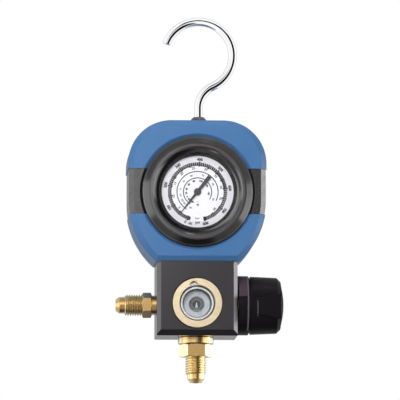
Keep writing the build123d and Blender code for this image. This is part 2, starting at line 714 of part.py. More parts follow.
def dial_screws():
    """Two small screws under the bezel that hold the dial on its ledge."""
    length = DIAL_T + DIAL_LEDGE_T - FREE
    return [
        screw_y(x, GAUGE_Z, DIAL_FRONT, length, DIAL_SCREW_D, DIAL_SCREW_HEAD_D, DIAL_SCREW_HEAD_T, -1)
        for x in (-DIAL_SCREW_X, DIAL_SCREW_X)
    ]


def pointer():
    """Tapered needle with a widening tail and a round hub."""
    half_root = POINTER_ROOT_WIDTH / 2
    half_tip = POINTER_TIP_WIDTH / 2
    half_tail = POINTER_TAIL_WIDTH / 2
    blade = Polygon(
        (-half_tip, POINTER_LENGTH),
        (-half_root, 0),
        (-half_tail, -POINTER_TAIL),
        (half_tail, -POINTER_TAIL),
        (half_root, 0),
        (half_tip, POINTER_LENGTH),
        align=None,
    )
    flat = upright(blade, POINTER_FRONT, POINTER_FRONT + POINTER_T)
    hub_front = POINTER_FRONT - (POINTER_HUB_T - POINTER_T) / 2
    needle = Pos(0, 0, GAUGE_Z) * Rot(0, POINTER_CLOCK, 0) * flat
    needle += rod_y(POINTER_HUB_R, hub_front, hub_front + POINTER_HUB_T)
    return needle - rod_y(POINTER_ARBOR_D / 2 + SLIP, POINTER_FRONT, 0)


# ---------------------------------------------------------------- movement
def involute(angle):
    """Involute function of a pressure angle in radians."""
    return tan(angle) - angle


def tooth_points(teeth, centre):
    """One tooth as (x, y) points about the gear's centre, at an angle in radians."""
    pitch_r = GEAR_MODULE * teeth / 2
    base_r = pitch_r * cos(radians(PRESSURE_ANGLE))
    root_r = pitch_r - DEDENDUM * GEAR_MODULE
    tip_r = pitch_r + ADDENDUM * GEAR_MODULE
    half_pitch = pi / (2 * teeth) - BACKLASH / (4 * pitch_r)
    start = max(base_r, root_r)
    radii = [start + (tip_r - start) * i / FLANK_STEPS for i in range(FLANK_STEPS + 1)]
    flank = []
    for radius in radii:
        lean = involute(acos(min(1.0, base_r / radius)))
        flank.append((radius, half_pitch + involute(radians(PRESSURE_ANGLE)) - lean))
    if root_r < base_r:
        flank.insert(0, (root_r, flank[0][1]))
    left = [(radius, centre - half) for radius, half in flank]
    right = [(radius, centre + half) for radius, half in reversed(flank)]
    return [(r * cos(a), r * sin(a)) for r, a in left + right]


def pinion_arbor():
    """Pointer arbor with its pinion, the collet of the hairspring and a rear pivot."""
    step = 2 * pi / PINION_TEETH
    points = []
    for i in range(PINION_TEETH):
        points += tooth_points(PINION_TEETH, -pi / 2 + (i + 0.5) * step)
    front = SECTOR_FRONT - PINION_OVERHANG
    back = SECTOR_FRONT + SECTOR_T + PINION_OVERHANG
    gear = upright(Pos(0, GAUGE_Z) * Polygon(*points, align=None), front, back)
    arbor = rod_y(POINTER_ARBOR_D / 2, POINTER_FRONT, REAR_PLATE_FRONT - RUNNING)
    pivot = rod_y(PIVOT_D / 2, REAR_PLATE_FRONT - RUNNING, REAR_PLATE_BACK)
    collet = rod_y(COLLET_R, SPRING_FRONT, SPRING_FRONT + SPRING_HEIGHT)
    return arbor + gear + pivot + collet


def tail_pin_place():
    """Centre of the pin in the sector's tail, in X and Z."""
    angle = radians(TAIL_ANGLE)
    return TAIL_LENGTH * cos(angle), SECTOR_Z + TAIL_LENGTH * sin(angle)


def bar_between(a, b, width):
    """Flat bar with round ends between two points, drawn in X and Z."""
    length = sqrt((b[0] - a[0]) ** 2 + (b[1] - a[1]) ** 2)
    angle = degrees(atan2(b[1] - a[1], b[0] - a[0]))
    middle = ((a[0] + b[0]) / 2, (a[1] + b[1]) / 2)
    return Pos(*middle) * Rot(0, 0, angle) * SlotCenterToCenter(length, width)


def sector_gear():
    """Toothed sector on two spokes, with a tail for the link."""
    pitch = 360 / WHEEL_TEETH
    first = -int(SECTOR_AHEAD / pitch)
    last = int(SECTOR_BEHIND / pitch)
    points = []
    for i in range(first, last + 1):
        points += tooth_points(WHEEL_TEETH, radians(90 + i * pitch))
    rim_inner = WHEEL_R - DEDENDUM * GEAR_MODULE - SECTOR_RIM
    ends = (90 + (first - 0.5) * pitch, 90 + (last + 0.5) * pitch)
    steps = last - first + 1
    inner = []
    for i in range(steps + 1):
        angle = radians(ends[1] + (ends[0] - ends[1]) * i / steps)
        inner.append((rim_inner * cos(angle), rim_inner * sin(angle)))
    plan = Polygon(*(points + inner), align=None)
    for end, turn in zip(ends, (1, -1)):
        angle = radians(end + turn * SPOKE_INSET)
        reach = rim_inner + SECTOR_RIM / 2
        plan += bar_between((0, 0), (reach * cos(angle), reach * sin(angle)), SPOKE_WIDTH)
    plan += Circle(SECTOR_HUB_R)
    pin = tail_pin_place()
    plan += bar_between((0, 0), (pin[0], pin[1] - SECTOR_Z), TAIL_WIDTH)
    plate = upright(Pos(0, SECTOR_Z) * plan, SECTOR_FRONT, SECTOR_FRONT + SECTOR_T)
    plate -= rod_y(SECTOR_ARBOR_D / 2 + SLIP, SECTOR_FRONT, SECTOR_FRONT + SECTOR_T, 0, SECTOR_Z)
    return plate - rod_y(PIN_D / 2 + SLIP, SECTOR_FRONT, SECTOR_FRONT + SECTOR_T, pin[0], pin[1])


def sector_arbor():
    """Arbor of the sector, with a pivot in each plate."""
    arbor = rod_y(SECTOR_ARBOR_D / 2, FRONT_PLATE_BACK + RUNNING, REAR_PLATE_FRONT - RUNNING, 0, SECTOR_Z)
    return arbor + rod_y(PIVOT_D / 2, FRONT_PLATE_FRONT, REAR_PLATE_BACK, 0, SECTOR_Z)


def link_pin():
    """Rivet in the sector's tail that the link turns on."""
    x, z = tail_pin_place()
    return rod_y(PIN_D / 2, LINK_FRONT - PIN_PROUD, SECTOR_FRONT + SECTOR_T, x, z)


def link():
    """Flat link from the sector's tail to the end of the tube."""
    tail = tail_pin_place()
    tip = (TIP_PIN[0], GAUGE_Z + TIP_PIN[1])
    plan = bar_between(tail, tip, LINK_WIDTH)
    plan += Pos(*tail) * Circle(LINK_EYE_R) + Pos(*tip) * Circle(LINK_EYE_R)
    back = LINK_FRONT + LINK_T
    body = upright(plan, LINK_FRONT, back)
    for x, z in (tail, tip):
        body -= rod_y(PIN_D / 2 + RUNNING, LINK_FRONT, back, x, z)
    return body


def plate_plan():
    """Outline shared by the two movement plates."""
    height = PLATE_TOP - PLATE_BOTTOM
    plan = RectangleRounded(2 * PLATE_HALF_WIDTH, height, PLATE_CORNER_R)
    return Pos(0, GAUGE_Z + (PLATE_TOP + PLATE_BOTTOM) / 2) * plan


def front_plate():
    """Front movement plate, with the stud of the hairspring."""
    plate = upright(plate_plan(), FRONT_PLATE_FRONT, FRONT_PLATE_BACK)
    plate -= rod_y(POINTER_ARBOR_D / 2 + RUNNING, FRONT_PLATE_FRONT, FRONT_PLATE_BACK)
    plate -= rod_y(PIVOT_D / 2 + RUNNING, FRONT_PLATE_FRONT, FRONT_PLATE_BACK, 0, SECTOR_Z)
    for x, z in PILLARS:
        plate -= rod_y(MOVEMENT_SCREW_D / 2 + SLIP, FRONT_PLATE_FRONT, FRONT_PLATE_BACK, x, GAUGE_Z + z)
    stud_x = SPRING_INNER_R + SPRING_TURNS * SPRING_PITCH + SPRING_STRIP / 2 + STUD_R + SLIP
    stud_side = 1 if int(2 * SPRING_TURNS) % 2 == 0 else -1
    return plate + rod_y(STUD_R, FRONT_PLATE_BACK, SPRING_FRONT + SPRING_HEIGHT, stud_side * stud_x)


def rear_plate():
    """Rear movement plate, screwed to the arm of the socket."""
    plate = upright(plate_plan(), REAR_PLATE_FRONT, REAR_PLATE_BACK)
    plate -= rod_y(PIVOT_D / 2 + RUNNING, REAR_PLATE_FRONT, REAR_PLATE_BACK)
    plate -= rod_y(PIVOT_D / 2 + RUNNING, REAR_PLATE_FRONT, REAR_PLATE_BACK, 0, SECTOR_Z)
    for x, z in ARM_SCREWS:
        plate -= rod_y(MOVEMENT_SCREW_D / 2 + SLIP, REAR_PLATE_FRONT, REAR_PLATE_BACK, x, GAUGE_Z + z)
    return plate


def movement_pillars():
    """Three pillars between the movement plates."""
    pilot = MOVEMENT_SCREW_D / 2 + SLIP
    reach = FRONT_PLATE_BACK + MOVEMENT_SCREW_REACH
    return [
        rod_y(PILLAR_D / 2, FRONT_PLATE_BACK, REAR_PLATE_FRONT, x, GAUGE_Z + z)
        - rod_y(pilot, FRONT_PLATE_BACK, reach, x, GAUGE_Z + z)
        for x, z in PILLARS
    ]


def movement_screws():
    """Screws of the movement: three into the pillars and two into the socket's arm."""
    sizes = (MOVEMENT_SCREW_D, MOVEMENT_SCREW_HEAD_D, MOVEMENT_SCREW_HEAD_T, -1)
    length = PLATE_T + MOVEMENT_SCREW_REACH - FREE
    into_pillars = [screw_y(x, GAUGE_Z + z, FRONT_PLATE_FRONT, length, *sizes) for x, z in PILLARS]
    into_arm = [screw_y(x, GAUGE_Z + z, REAR_PLATE_FRONT, length, *sizes) for x, z in ARM_SCREWS]
    return into_pillars + into_arm


def hairspring():
    """Flat spiral spring that takes up the backlash."""
    steps = int(SPRING_TURNS * SPRING_STEPS)
    outer = []
    inner = []
    for i in range(steps + 1):
        turn = 2 * pi * SPRING_TURNS * i / steps
        radius = SPRING_INNER_R + SPRING_PITCH * SPRING_TURNS * i / steps
        wide = radius + SPRING_STRIP / 2
        slim = radius - SPRING_STRIP / 2
        outer.append((wide * cos(turn), wide * sin(turn)))
        inner.append((slim * cos(turn), slim * sin(turn)))
    strip = Polygon(*(outer + inner[::-1]), align=None)
    return upright(Pos(0, GAUGE_Z) * strip, SPRING_FRONT, SPRING_FRONT + SPRING_HEIGHT)


# ---------------------------------------------------------------- tube and socket
def tube_body(gap, end_gap=0.0):
    """Flattened tube bent round the gauge's axis, grown by gap."""
    flat = Rectangle(TUBE_RADIAL + 2 * gap, TUBE_AXIAL + 2 * gap)
    section = chamfer(flat.vertices(), (TUBE_RADIAL + 2 * gap) * TUBE_CORNER_SHARE)
    arc = TUBE_ROOT_ANGLE + 360 - TUBE_TIP_ANGLE + end_gap
    placed = Rot(0, -TUBE_ROOT_ANGLE - end_gap, 0) * Pos(TUBE_R, TUBE_FRONT + TUBE_AXIAL / 2, 0) * section
    return revolve(Pos(0, 0, GAUGE_Z) * placed, Axis((0, 0, GAUGE_Z), (0, 1, 0)), revolution_arc=arc)


def bourdon_tube():
    """Hollow C-shaped tube that opens as the pressure rises."""
    return tube_body(0) - tube_body(-TUBE_WALL)


def tube_end():
    """Plug that closes the tube, with the ear that the link is pinned to."""
    outer = TUBE_R + TUBE_RADIAL / 2 + TIP_SHOULDER
    inner = TUBE_R - TUBE_RADIAL / 2 - TIP_SHOULDER
    plug = Rot(0, -TUBE_TIP_ANGLE, 0) * brick(inner, outer, EAR_FRONT, TUBE_FRONT + TUBE_AXIAL, -TIP_BLOCK, 0)
    plug = Pos(0, 0, GAUGE_Z) * plug
    tip = (TIP_PIN[0], GAUGE_Z + TIP_PIN[1])
    angle = radians(TUBE_TIP_ANGLE) - TIP_BLOCK / 2 / TUBE_R
    root = (TUBE_R * cos(angle), GAUGE_Z + TUBE_R * sin(angle))
    ear = upright(bar_between(tip, root, 2 * EAR_R), EAR_FRONT, EAR_FRONT + EAR_T)
    return plug + ear - rod_y(PIN_D / 2 + RUNNING, EAR_FRONT, EAR_FRONT + EAR_T, tip[0], tip[1])


def gauge_socket():
    """Brass stem: seat of the tube and of the movement, hexagon and pipe thread in one."""
    half = SOCKET_WIDTH / 2
    inner = CASE_R - CASE_WALL
    block = brick(-half, half, TUBE_FRONT, CASE_FLOOR, GAUGE_Z - inner, GAUGE_Z + SOCKET_TOP)
    block &= rod_y(inner - SLIP, TUBE_FRONT, CASE_FLOOR)
    arm_back = REAR_PLATE_BACK + SOCKET_ARM_T
    block += brick(
        -SOCKET_ARM_HALF, SOCKET_ARM_HALF, REAR_PLATE_BACK, arm_back,
        GAUGE_Z + SOCKET_TOP - SEAM, GAUGE_Z + SOCKET_ARM_TOP,
    )
    hex_top = GAUGE_Z - CASE_R - SOCKET_HEX_GAP
    hex_foot = BLOCK_TOP + SEAL_WASHER_T
    block += rod_z(SOCKET_NECK_R, hex_top - SEAM, GAUGE_Z + SOCKET_TOP - SOCKET_NECK_R)
    block += hex_z(SOCKET_HEX_AF, hex_foot, hex_top)
    foot = BLOCK_TOP - SOCKET_THREAD_LENGTH
    block += rod_z(SOCKET_THREAD_D / 2, foot, hex_foot + SEAM)
    gallery = GAUGE_Z - TUBE_R
    block -= rod_z(SOCKET_BORE_D / 2, foot, gallery)
    block -= rod_x(SOCKET_BORE_D / 2, -half / 2 - 1, 0, 0, gallery)
    block -= tube_body(SLIP)
    block -= rod_y(PIVOT_D, REAR_PLATE_BACK, REAR_PLATE_BACK + 1, 0, SECTOR_Z)
    for x, z in ARM_SCREWS:
        reach = REAR_PLATE_BACK + MOVEMENT_SCREW_REACH
        block -= rod_y(MOVEMENT_SCREW_D / 2 + SLIP, REAR_PLATE_BACK, reach, x, GAUGE_Z + z)
    for x in (-CASE_SCREW_X, CASE_SCREW_X):
        reach = CASE_FLOOR - CASE_SCREW_LENGTH
        block -= rod_y(CASE_SCREW_D / 2 + SLIP, reach, CASE_FLOOR, x, GAUGE_Z + CASE_SCREW_HEIGHT)
    return block


def case_screws():
    """Two screws through the back of the case into the socket."""
    length = CASE_SCREW_LENGTH + CASE_WALL - FREE
    sizes = (CASE_SCREW_D, CASE_SCREW_HEAD_D, CASE_SCREW_HEAD_T)
    return [
        screw_y(x, GAUGE_Z + CASE_SCREW_HEIGHT, CASE_BACK, length, *sizes)
        for x in (-CASE_SCREW_X, CASE_SCREW_X)
    ]


def socket_washer():
    """Soft washer between the socket's hexagon and the block."""
    top = BLOCK_TOP + SEAL_WASHER_T
    disc = rod_z(SEAL_WASHER_R, BLOCK_TOP, top)
    return disc - rod_z(SOCKET_THREAD_D / 2 + SLIP, BLOCK_TOP, top)


# ---------------------------------------------------------------- manifold block
def manifold_block():
    """Machined block: one chamber joins the gauge, the sight glass and the bottom port."""
    height = BLOCK_TOP - BLOCK_BOTTOM
    block = extrude(Pos(0, 0, BLOCK_BOTTOM) * block_section(), height)
    for edge_y, inwards in ((BLOCK_FRONT, 1), (BLOCK_BACK, -1)):
        run = BLOCK_FOOT_EDGE
        corner = Polygon(
            (edge_y - inwards, BLOCK_BOTTOM - 1),
            (edge_y + inwards * (run + 1), BLOCK_BOTTOM - 1),
            (edge_y + inwards * run, BLOCK_BOTTOM),
            (edge_y, BLOCK_BOTTOM + run),
            (edge_y - inwards, BLOCK_BOTTOM + run),
            align=None,
        )
        block -= extrude(Plane.YZ * corner, BLOCK_WIDTH, both=True)
    root_r = FLARE_ROOT_D / 2 + SLIP
    block -= rod_x(root_r, -PORT_FACE, FLARE_ROOT_LENGTH + DRILL_TIP - PORT_FACE)
    block -= rod_x(SEAT_ORIFICE_D / 2, -PORT_FACE, CHAMBER_LEFT)
    block -= rod_x(CHAMBER_R, CHAMBER_LEFT, BONNET_FLOOR)
    block -= rod_x(BONNET_THREAD_R + SLIP, BONNET_FLOOR, PORT_FACE)
    block -= rod_z(root_r, BLOCK_BOTTOM, BLOCK_BOTTOM + FLARE_ROOT_LENGTH + DRILL_TIP)
    block -= rod_z(DRILLING_D / 2, BLOCK_BOTTOM, PORT_Z)
    socket_floor = BLOCK_TOP - SOCKET_THREAD_LENGTH - DRILL_TIP
    block -= rod_z(SOCKET_THREAD_D / 2 + SLIP, socket_floor, BLOCK_TOP)
    block -= rod_z(SOCKET_BORE_D / 2, PORT_Z, BLOCK_TOP)
    block -= rod_y(RING_NUT_R + SLIP, BLOCK_FRONT, RING_NUT_BACK, 0, PORT_Z)
    rim = RING_NUT_R + SLIP
    block -= turned_y([
        (0, BLOCK_FRONT - 1),
        (rim + COUNTERBORE_CHAMFER + 1, BLOCK_FRONT - 1),
        (rim, BLOCK_FRONT + COUNTERBORE_CHAMFER),
        (0, BLOCK_FRONT + COUNTERBORE_CHAMFER),
    ], z=PORT_Z)
    block -= rod_y(SIGHT_FRAME_R + SLIP, RING_NUT_BACK, SIGHT_SEAL_BACK, 0, PORT_Z)
    block -= rod_y(SIGHT_POCKET_R, SIGHT_SEAL_BACK, SIGHT_FLOOR, 0, PORT_Z)
    block -= rod_y(SIGHT_STEP_R, SIGHT_FLOOR, 0, 0, PORT_Z)
    reach = HALF_DEPTH - BLOCK_SCREW_RECESS - BLOCK_SCREW_LENGTH - DRILL_TIP
    for x in (-BLOCK_SCREW_X, BLOCK_SCREW_X):
        block -= rod_y(BLOCK_SCREW_D / 2 + SLIP, reach, BLOCK_BACK, x, BLOCK_SCREW_Z)
    return block


def sight_ring_nut():
    """Threaded ring with one notch for the spanner, flush in the block's face."""
    front = BLOCK_FRONT - RING_NUT_PROUD
    ring = ring_y(RING_NUT_R, RING_NUT_BORE_R, front, RING_NUT_BACK, z=PORT_Z)
    angle = radians(NOTCH_CLOCK)
    x = RING_NUT_BORE_R * sin(angle)
    z = PORT_Z + RING_NUT_BORE_R * cos(angle)
    return ring - rod_y(NOTCH_R, front, RING_NUT_BACK, x, z)


def sight_frame():
    """Steel ring that the sight glass is fused into."""
    frame = ring_y(SIGHT_FRAME_R, SIGHT_GLASS_R, RING_NUT_BACK, SIGHT_FRAME_BACK, z=PORT_Z)
    rim_front = RING_NUT_BACK - SIGHT_RIM_H
    return frame + ring_y(SIGHT_RIM_R, SIGHT_GLASS_R, rim_front, RING_NUT_BACK + SEAM, z=PORT_Z)


def sight_glass():
    """Thick round glass of the sight window."""
    front = RING_NUT_BACK - SIGHT_RIM_H + SIGHT_GLASS_SETBACK
    return rod_y(SIGHT_GLASS_R, front, front + SIGHT_GLASS_T, 0, PORT_Z)


def sight_seal():
    """Flat seal behind the sight glass."""
    return ring_y(SIGHT_FRAME_R, SIGHT_SEAL_INNER_R, SIGHT_FRAME_BACK, SIGHT_SEAL_BACK, z=PORT_Z)


def sight_cup():
    """Bright stepped insert at the bottom of the sight pocket."""
    front = SIGHT_FLOOR - SIGHT_CUP_T
    middle = SIGHT_FLOOR - SIGHT_CUP_T / 2
    cup = rod_y(SIGHT_POCKET_R - SLIP, front, SIGHT_FLOOR, 0, PORT_Z)
    cup -= rod_y(SIGHT_HOLE_R, front, middle, 0, PORT_Z)
    return cup - rod_y(SIGHT_STEP_R, middle, SIGHT_FLOOR, 0, PORT_Z)


# ---------------------------------------------------------------- flare fittings
def fitting_profile(stations, bore_r):
    """(distance, radius) points of a turned fitting, from its root thread to its cone."""
    points = [(-FLARE_ROOT_LENGTH, bore_r), (-FLARE_ROOT_LENGTH, FLARE_ROOT_D / 2), (0, FLARE_ROOT_D / 2)]
    return points + stations + [(stations[-1][0], bore_r)]


def flare_stations(start, thread, nose_d, nose, cone):
    """Thread with chamfered ends, plain nose and sealing cone, from a start distance."""
    thread_r = FLARE_THREAD_D / 2
    nose_r = nose_d / 2
    end = start + thread
    return [
        (start, thread_r),
        (end - THREAD_CHAMFER, thread_r),
        (end, thread_r - THREAD_CHAMFER),
        (end, nose_r),
        (end + nose, nose_r),
        (end + nose + cone, FLARE_TIP_D / 2),
    ]


def left_port_fitting():
    """Male flare fitting of the service port, closed off by the valve."""
    hex_start = LEFT_NECK_LENGTH
    hex_end = hex_start + LEFT_HEX_LENGTH
    stations = [(0, LEFT_NECK_D / 2), (hex_end, LEFT_NECK_D / 2)]
    nose = (LEFT_NOSE_D, LEFT_NOSE_LENGTH, LEFT_CONE_LENGTH)
    stations += flare_stations(hex_end, LEFT_THREAD_LENGTH, *nose)
    profile = fitting_profile(stations, FLARE_BORE_D / 2)
    body = turned_x([(-PORT_FACE - distance, radius) for distance, radius in profile])
    nut = hex_x(LEFT_HEX_AF, -PORT_FACE - hex_end, -PORT_FACE - hex_start)
    return body + (nut - rod_x(FLARE_BORE_D / 2, -PORT_FACE - hex_end, -PORT_FACE - hex_start))


def bottom_port_fitting():
    """Male flare fitting of the system port, with a round flange under the block."""
    flange_end = BOTTOM_FLANGE_LENGTH
    hex_end = flange_end + BOTTOM_HEX_LENGTH
    flange_r = BOTTOM_FLANGE_D / 2
    stations = [
        (0, flange_r),
        (flange_end - FLANGE_EDGE, flange_r),
        (flange_end, flange_r - FLANGE_EDGE),
        (flange_end, FLARE_THREAD_D / 2),
    ]
    nose = (BOTTOM_NOSE_D, BOTTOM_NOSE_LENGTH, BOTTOM_CONE_LENGTH)
    stations += flare_stations(hex_end, BOTTOM_THREAD_LENGTH, *nose)
    profile = fitting_profile(stations, FLARE_BORE_D / 2)
    body = turned_z([(radius, BLOCK_BOTTOM - distance) for distance, radius in profile])
    nut = hex_z(BOTTOM_HEX_AF, BLOCK_BOTTOM - hex_end, BLOCK_BOTTOM - flange_end)
    return body + (nut - rod_z(FLARE_BORE_D / 2, BLOCK_BOTTOM - hex_end, BLOCK_BOTTOM - flange_end))


# ---------------------------------------------------------------- valve
def valve_bonnet():
    """Screwed bonnet that guides the stem and carries its thread."""
    seat = PORT_FACE + BONNET_SEAL_T
    hex_end = seat + BONNET_HEX_T
    tower_end = hex_end + BONNET_TOWER_LENGTH
    bonnet = rod_x(BONNET_THREAD_R, BONNET_FLOOR, seat + SEAM)
    bonnet += hex_x(BONNET_HEX_AF, seat, hex_end)
    bonnet += rod_x(BONNET_TOWER_R, hex_end - SEAM, tower_end)
    bonnet -= rod_x(STEM_THREAD_R + RUNNING, BONNET_FLOOR, BONNET_THREAD_END)
    return bonnet - rod_x(STEM_R + RUNNING, BONNET_FLOOR, tower_end)


def bonnet_seal():
    """Flat ring under the bonnet's hexagon."""
    seat = PORT_FACE + BONNET_SEAL_T
    return rod_x(BONNET_SEAL_R, PORT_FACE, seat) - rod_x(BONNET_THREAD_R + SLIP, PORT_FACE, seat)


def valve_stem():
    """Threaded stem with a swivel nose, two packing grooves and a square for the knob."""
    nose_left = STEM_LEFT - STEM_NOSE_LENGTH
    thread_end = STEM_THREAD_START + STEM_THREAD_LENGTH
    stem = rod_x(STEM_NOSE_R, nose_left, STEM_LEFT + SEAM)
    stem += rod_x(STEM_R, STEM_LEFT, SQUARE_START)
    stem += rod_x(STEM_THREAD_R, STEM_THREAD_START, thread_end)
    half = STEM_SQUARE / 2
    stem += brick(SQUARE_START - SEAM, SQUARE_END, -half, half, PORT_Z - half, PORT_Z + half)
    for lead in PACKING_LEADS:
        left = PORT_FACE + lead - PACKING_GROOVE_WIDTH / 2
        right = left + PACKING_GROOVE_WIDTH
        stem -= rod_x(STEM_R + 1, left, right) - rod_x(PACKING_GROOVE_R, left, right)
    pilot_end = KNOB_SCREW_SEAT - KNOB_SCREW_LENGTH - DRILL_TIP
    return stem - rod_x(KNOB_SCREW_D / 2 + SLIP, pilot_end, SQUARE_END)


def stem_packing():
    """Two round rings that seal the stem in the bonnet."""
    centre_r = PACKING_GROOVE_R + PACKING_SECTION_R
    rings = []
    for lead in PACKING_LEADS:
        section = Pos(centre_r, 0) * RegularPolygon(PACKING_SECTION_R, PACKING_SIDES)
        ring = revolve(Plane.XZ * section, Axis.Z)
        rings.append(Pos(PORT_FACE + lead, 0, PORT_Z) * Rot(0, 90, 0) * ring)
    return rings


def valve_piston():
    """Piston that the stem pushes on to the seat without turning it."""
    piston = rod_x(PISTON_R, PISTON_LEFT, PISTON_RIGHT)
    recess_end = SEAT_DISC_LEFT + SEAT_DISC_T
    piston -= rod_x(SEAT_DISC_R + SLIP, PISTON_LEFT, recess_end)
    nose_end = STEM_LEFT - STEM_NOSE_LENGTH - NOSE_END_GAP
    return piston - rod_x(STEM_NOSE_R + RUNNING, nose_end, PISTON_RIGHT)


def seat_disc():
    """Soft disc in the piston that closes the seat."""
    return rod_x(SEAT_DISC_R, SEAT_DISC_LEFT, SEAT_DISC_LEFT + SEAT_DISC_T)


def knob_pad(side):
    """Raised flat pad on the knob, wider towards its end."""
    face = KNOB_BODY_R + KNOB_PAD_RISE
    plan = Polygon(
        (KNOB_PAD_START, -KNOB_PAD_HALF_START),
        (KNOB_END, -KNOB_PAD_HALF_END),
        (KNOB_END, KNOB_PAD_HALF_END),
        (KNOB_PAD_START, KNOB_PAD_HALF_START),
        align=None,
    )
    pad = upright(Pos(0, PORT_Z) * plan, -face, -KNOB_CAVITY_R)
    pad = chamfer(pad.faces().sort_by(Axis.Y)[0].edges(), KNOB_PAD_EDGE)
    turn = KNOB_PAD_TURN if side < 0 else KNOB_PAD_TURN + 180
    return Pos(0, 0, PORT_Z) * Rot(turn, 0, 0) * Pos(0, 0, -PORT_Z) * pad


def valve_knob():
    """Hand knob: smooth skirt, groove, tapered body with two raised pads, hollow behind."""
    skirt_end = KNOB_START + KNOB_SKIRT_LENGTH
    groove_end = skirt_end + KNOB_GROOVE_WIDTH
    groove_r = KNOB_BODY_R - KNOB_GROOVE_DEPTH
    knob = turned_x([
        (KNOB_START, 0),
        (KNOB_START, KNOB_SKIRT_R),
        (skirt_end - KNOB_SKIRT_EDGE, KNOB_SKIRT_R),
        (skirt_end, KNOB_SKIRT_R - KNOB_SKIRT_EDGE),
        (skirt_end, groove_r),
        (groove_end, groove_r),
        (groove_end, KNOB_BODY_R),
        (KNOB_SHOULDER, KNOB_END_R),
        (KNOB_END, KNOB_END_R - KNOB_END_CHAMFER),
        (KNOB_END, 0),
    ])
    knob += knob_pad(-1) + knob_pad(1)
    knob -= rod_x(KNOB_CAVITY_R, KNOB_START, KNOB_CAVITY_END)
    half = STEM_SQUARE / 2 + SLIP
    knob -= brick(KNOB_CAVITY_END, SQUARE_END + SLIP, -half, half, PORT_Z - half, PORT_Z + half)
    knob -= rod_x(KNOB_SCREW_D / 2 + SLIP, SQUARE_END, KNOB_SCREW_SEAT)
    knob -= rod_x(CAP_SPIGOT_R + SLIP, KNOB_SCREW_SEAT, CAP_SEAT)
    return knob - rod_x(CAP_R + SLIP, CAP_SEAT, KNOB_END)


def knob_screw():
    """Screw that holds the knob on the stem."""
    shank = rod_x(KNOB_SCREW_D / 2, KNOB_SCREW_SEAT - KNOB_SCREW_LENGTH, KNOB_SCREW_SEAT)
    head_end = KNOB_SCREW_SEAT + KNOB_SCREW_HEAD_T
    head = rod_x(KNOB_SCREW_HEAD_D / 2, KNOB_SCREW_SEAT, head_end)
    drive = rod_x(KNOB_SCREW_HEAD_D * DRIVE_SHARE, head_end - KNOB_SCREW_HEAD_T * DRIVE_SHARE, head_end)
    return shank + head - drive


def knob_cap():
    """Domed cap with ring serrations that hides the knob's screw."""
    edge_x = KNOB_END + CAP_EDGE_RISE
    points = [(CAP_SEAT, 0), (CAP_SEAT, CAP_R), (edge_x, CAP_R)]
    rings = int(CAP_R / CAP_RING_PITCH)
    for i in range(rings):
        radius = CAP_R - (i + 0.5) * CAP_RING_PITCH
        crest = edge_x + CAP_DOME * (1 - (radius / CAP_R) ** 2)
        points.append((crest, radius))
        points.append((crest - CAP_RING_DEPTH, radius - CAP_RING_PITCH / 2))
    points.append((edge_x + CAP_DOME - CAP_RING_DEPTH, 0))
    cap = turned_x(points)
    spigot_end = CAP_SEAT - CAP_SPIGOT_LENGTH
    spigot = rod_x(CAP_SPIGOT_R, spigot_end, CAP_SEAT + SEAM)
    spigot -= rod_x(CAP_SPIGOT_R - CAP_SPIGOT_WALL, spigot_end, CAP_SEAT)
    return cap + spigot


# ---------------------------------------------------------------- build
def build():
    """All nodes by name."""
    shell = housing_shell()
    return {
        "front_housing": front_housing(shell),
        "rear_housing": rear_housing(shell),
        "side_grip_left": side_grip(-1),
        "side_grip_right": side_grip(1),
        "housing_screws": housing_screws(),
        "block_screws": block_screws(),
        "hook": hook(),
        "hook_collar": hook_collar(),
        "hook_washer": hook_washer(),
        "hook_nut": hook_nut(),
        "bezel_ring": bezel(),
        "lens": lens(),
        "lens_gasket": lens_gasket(),
        "gauge_case": gauge_case(),
        "dial_plate": dial(),
        "dial_screws": dial_screws(),
        "pointer": pointer(),
        "pinion_arbor": pinion_arbor(),
        "sector_gear": sector_gear(),
        "sector_arbor": sector_arbor(),
        "link": link(),
        "link_pin": link_pin(),
        "hairspring": hairspring(),
        "movement_front_plate": front_plate(),
        "movement_rear_plate": rear_plate(),
        "movement_pillars": movement_pillars(),
        "movement_screws": movement_screws(),
        "bourdon_tube": bourdon_tube(),
        "tube_end": tube_end(),
        "gauge_socket": gauge_socket(),
        "case_screws": case_screws(),
        "socket_washer": socket_washer(),
        "manifold_block": manifold_block(),
        "sight_ring_nut": sight_ring_nut(),
        "sight_frame": sight_frame(),
        "sight_glass": sight_glass(),
        "sight_seal": sight_seal(),
        "sight_cup": sight_cup(),
        "left_port_fitting": left_port_fitting(),
        "bottom_port_fitting": bottom_port_fitting(),
        "valve_bonnet": valve_bonnet(),
        "bonnet_seal": bonnet_seal(),
        "valve_stem": valve_stem(),
        "stem_packing": stem_packing(),
        "valve_piston": valve_piston(),
        "seat_disc": seat_disc(),
        "valve_knob": valve_knob(),
        "knob_screw": knob_screw(),
        "knob_cap": knob_cap(),
    }


ON_HOOK_AXIS = ("hook", "hook_collar", "hook_washer", "hook_nut")
os.makedirs("parts", exist_ok=True)
for node, shape in build().items():
    solids = shape if isinstance(shape, list) else [shape]
    shift = 0 if node in ON_HOOK_AXIS else -HOOK_OFFSET
    bodies = [Pos(shift, 0, 0) * solid for piece in solids for solid in piece.solids()]
    export_step(bodies[0] if len(bodies) == 1 else Compound(children=bodies), f"parts/{node}.step")
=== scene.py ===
"""Looks of the manifold gauge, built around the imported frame. Lengths are metres, in the row frame."""
import json
import math

import bmesh
import bpy
from mathutils import Matrix, Vector

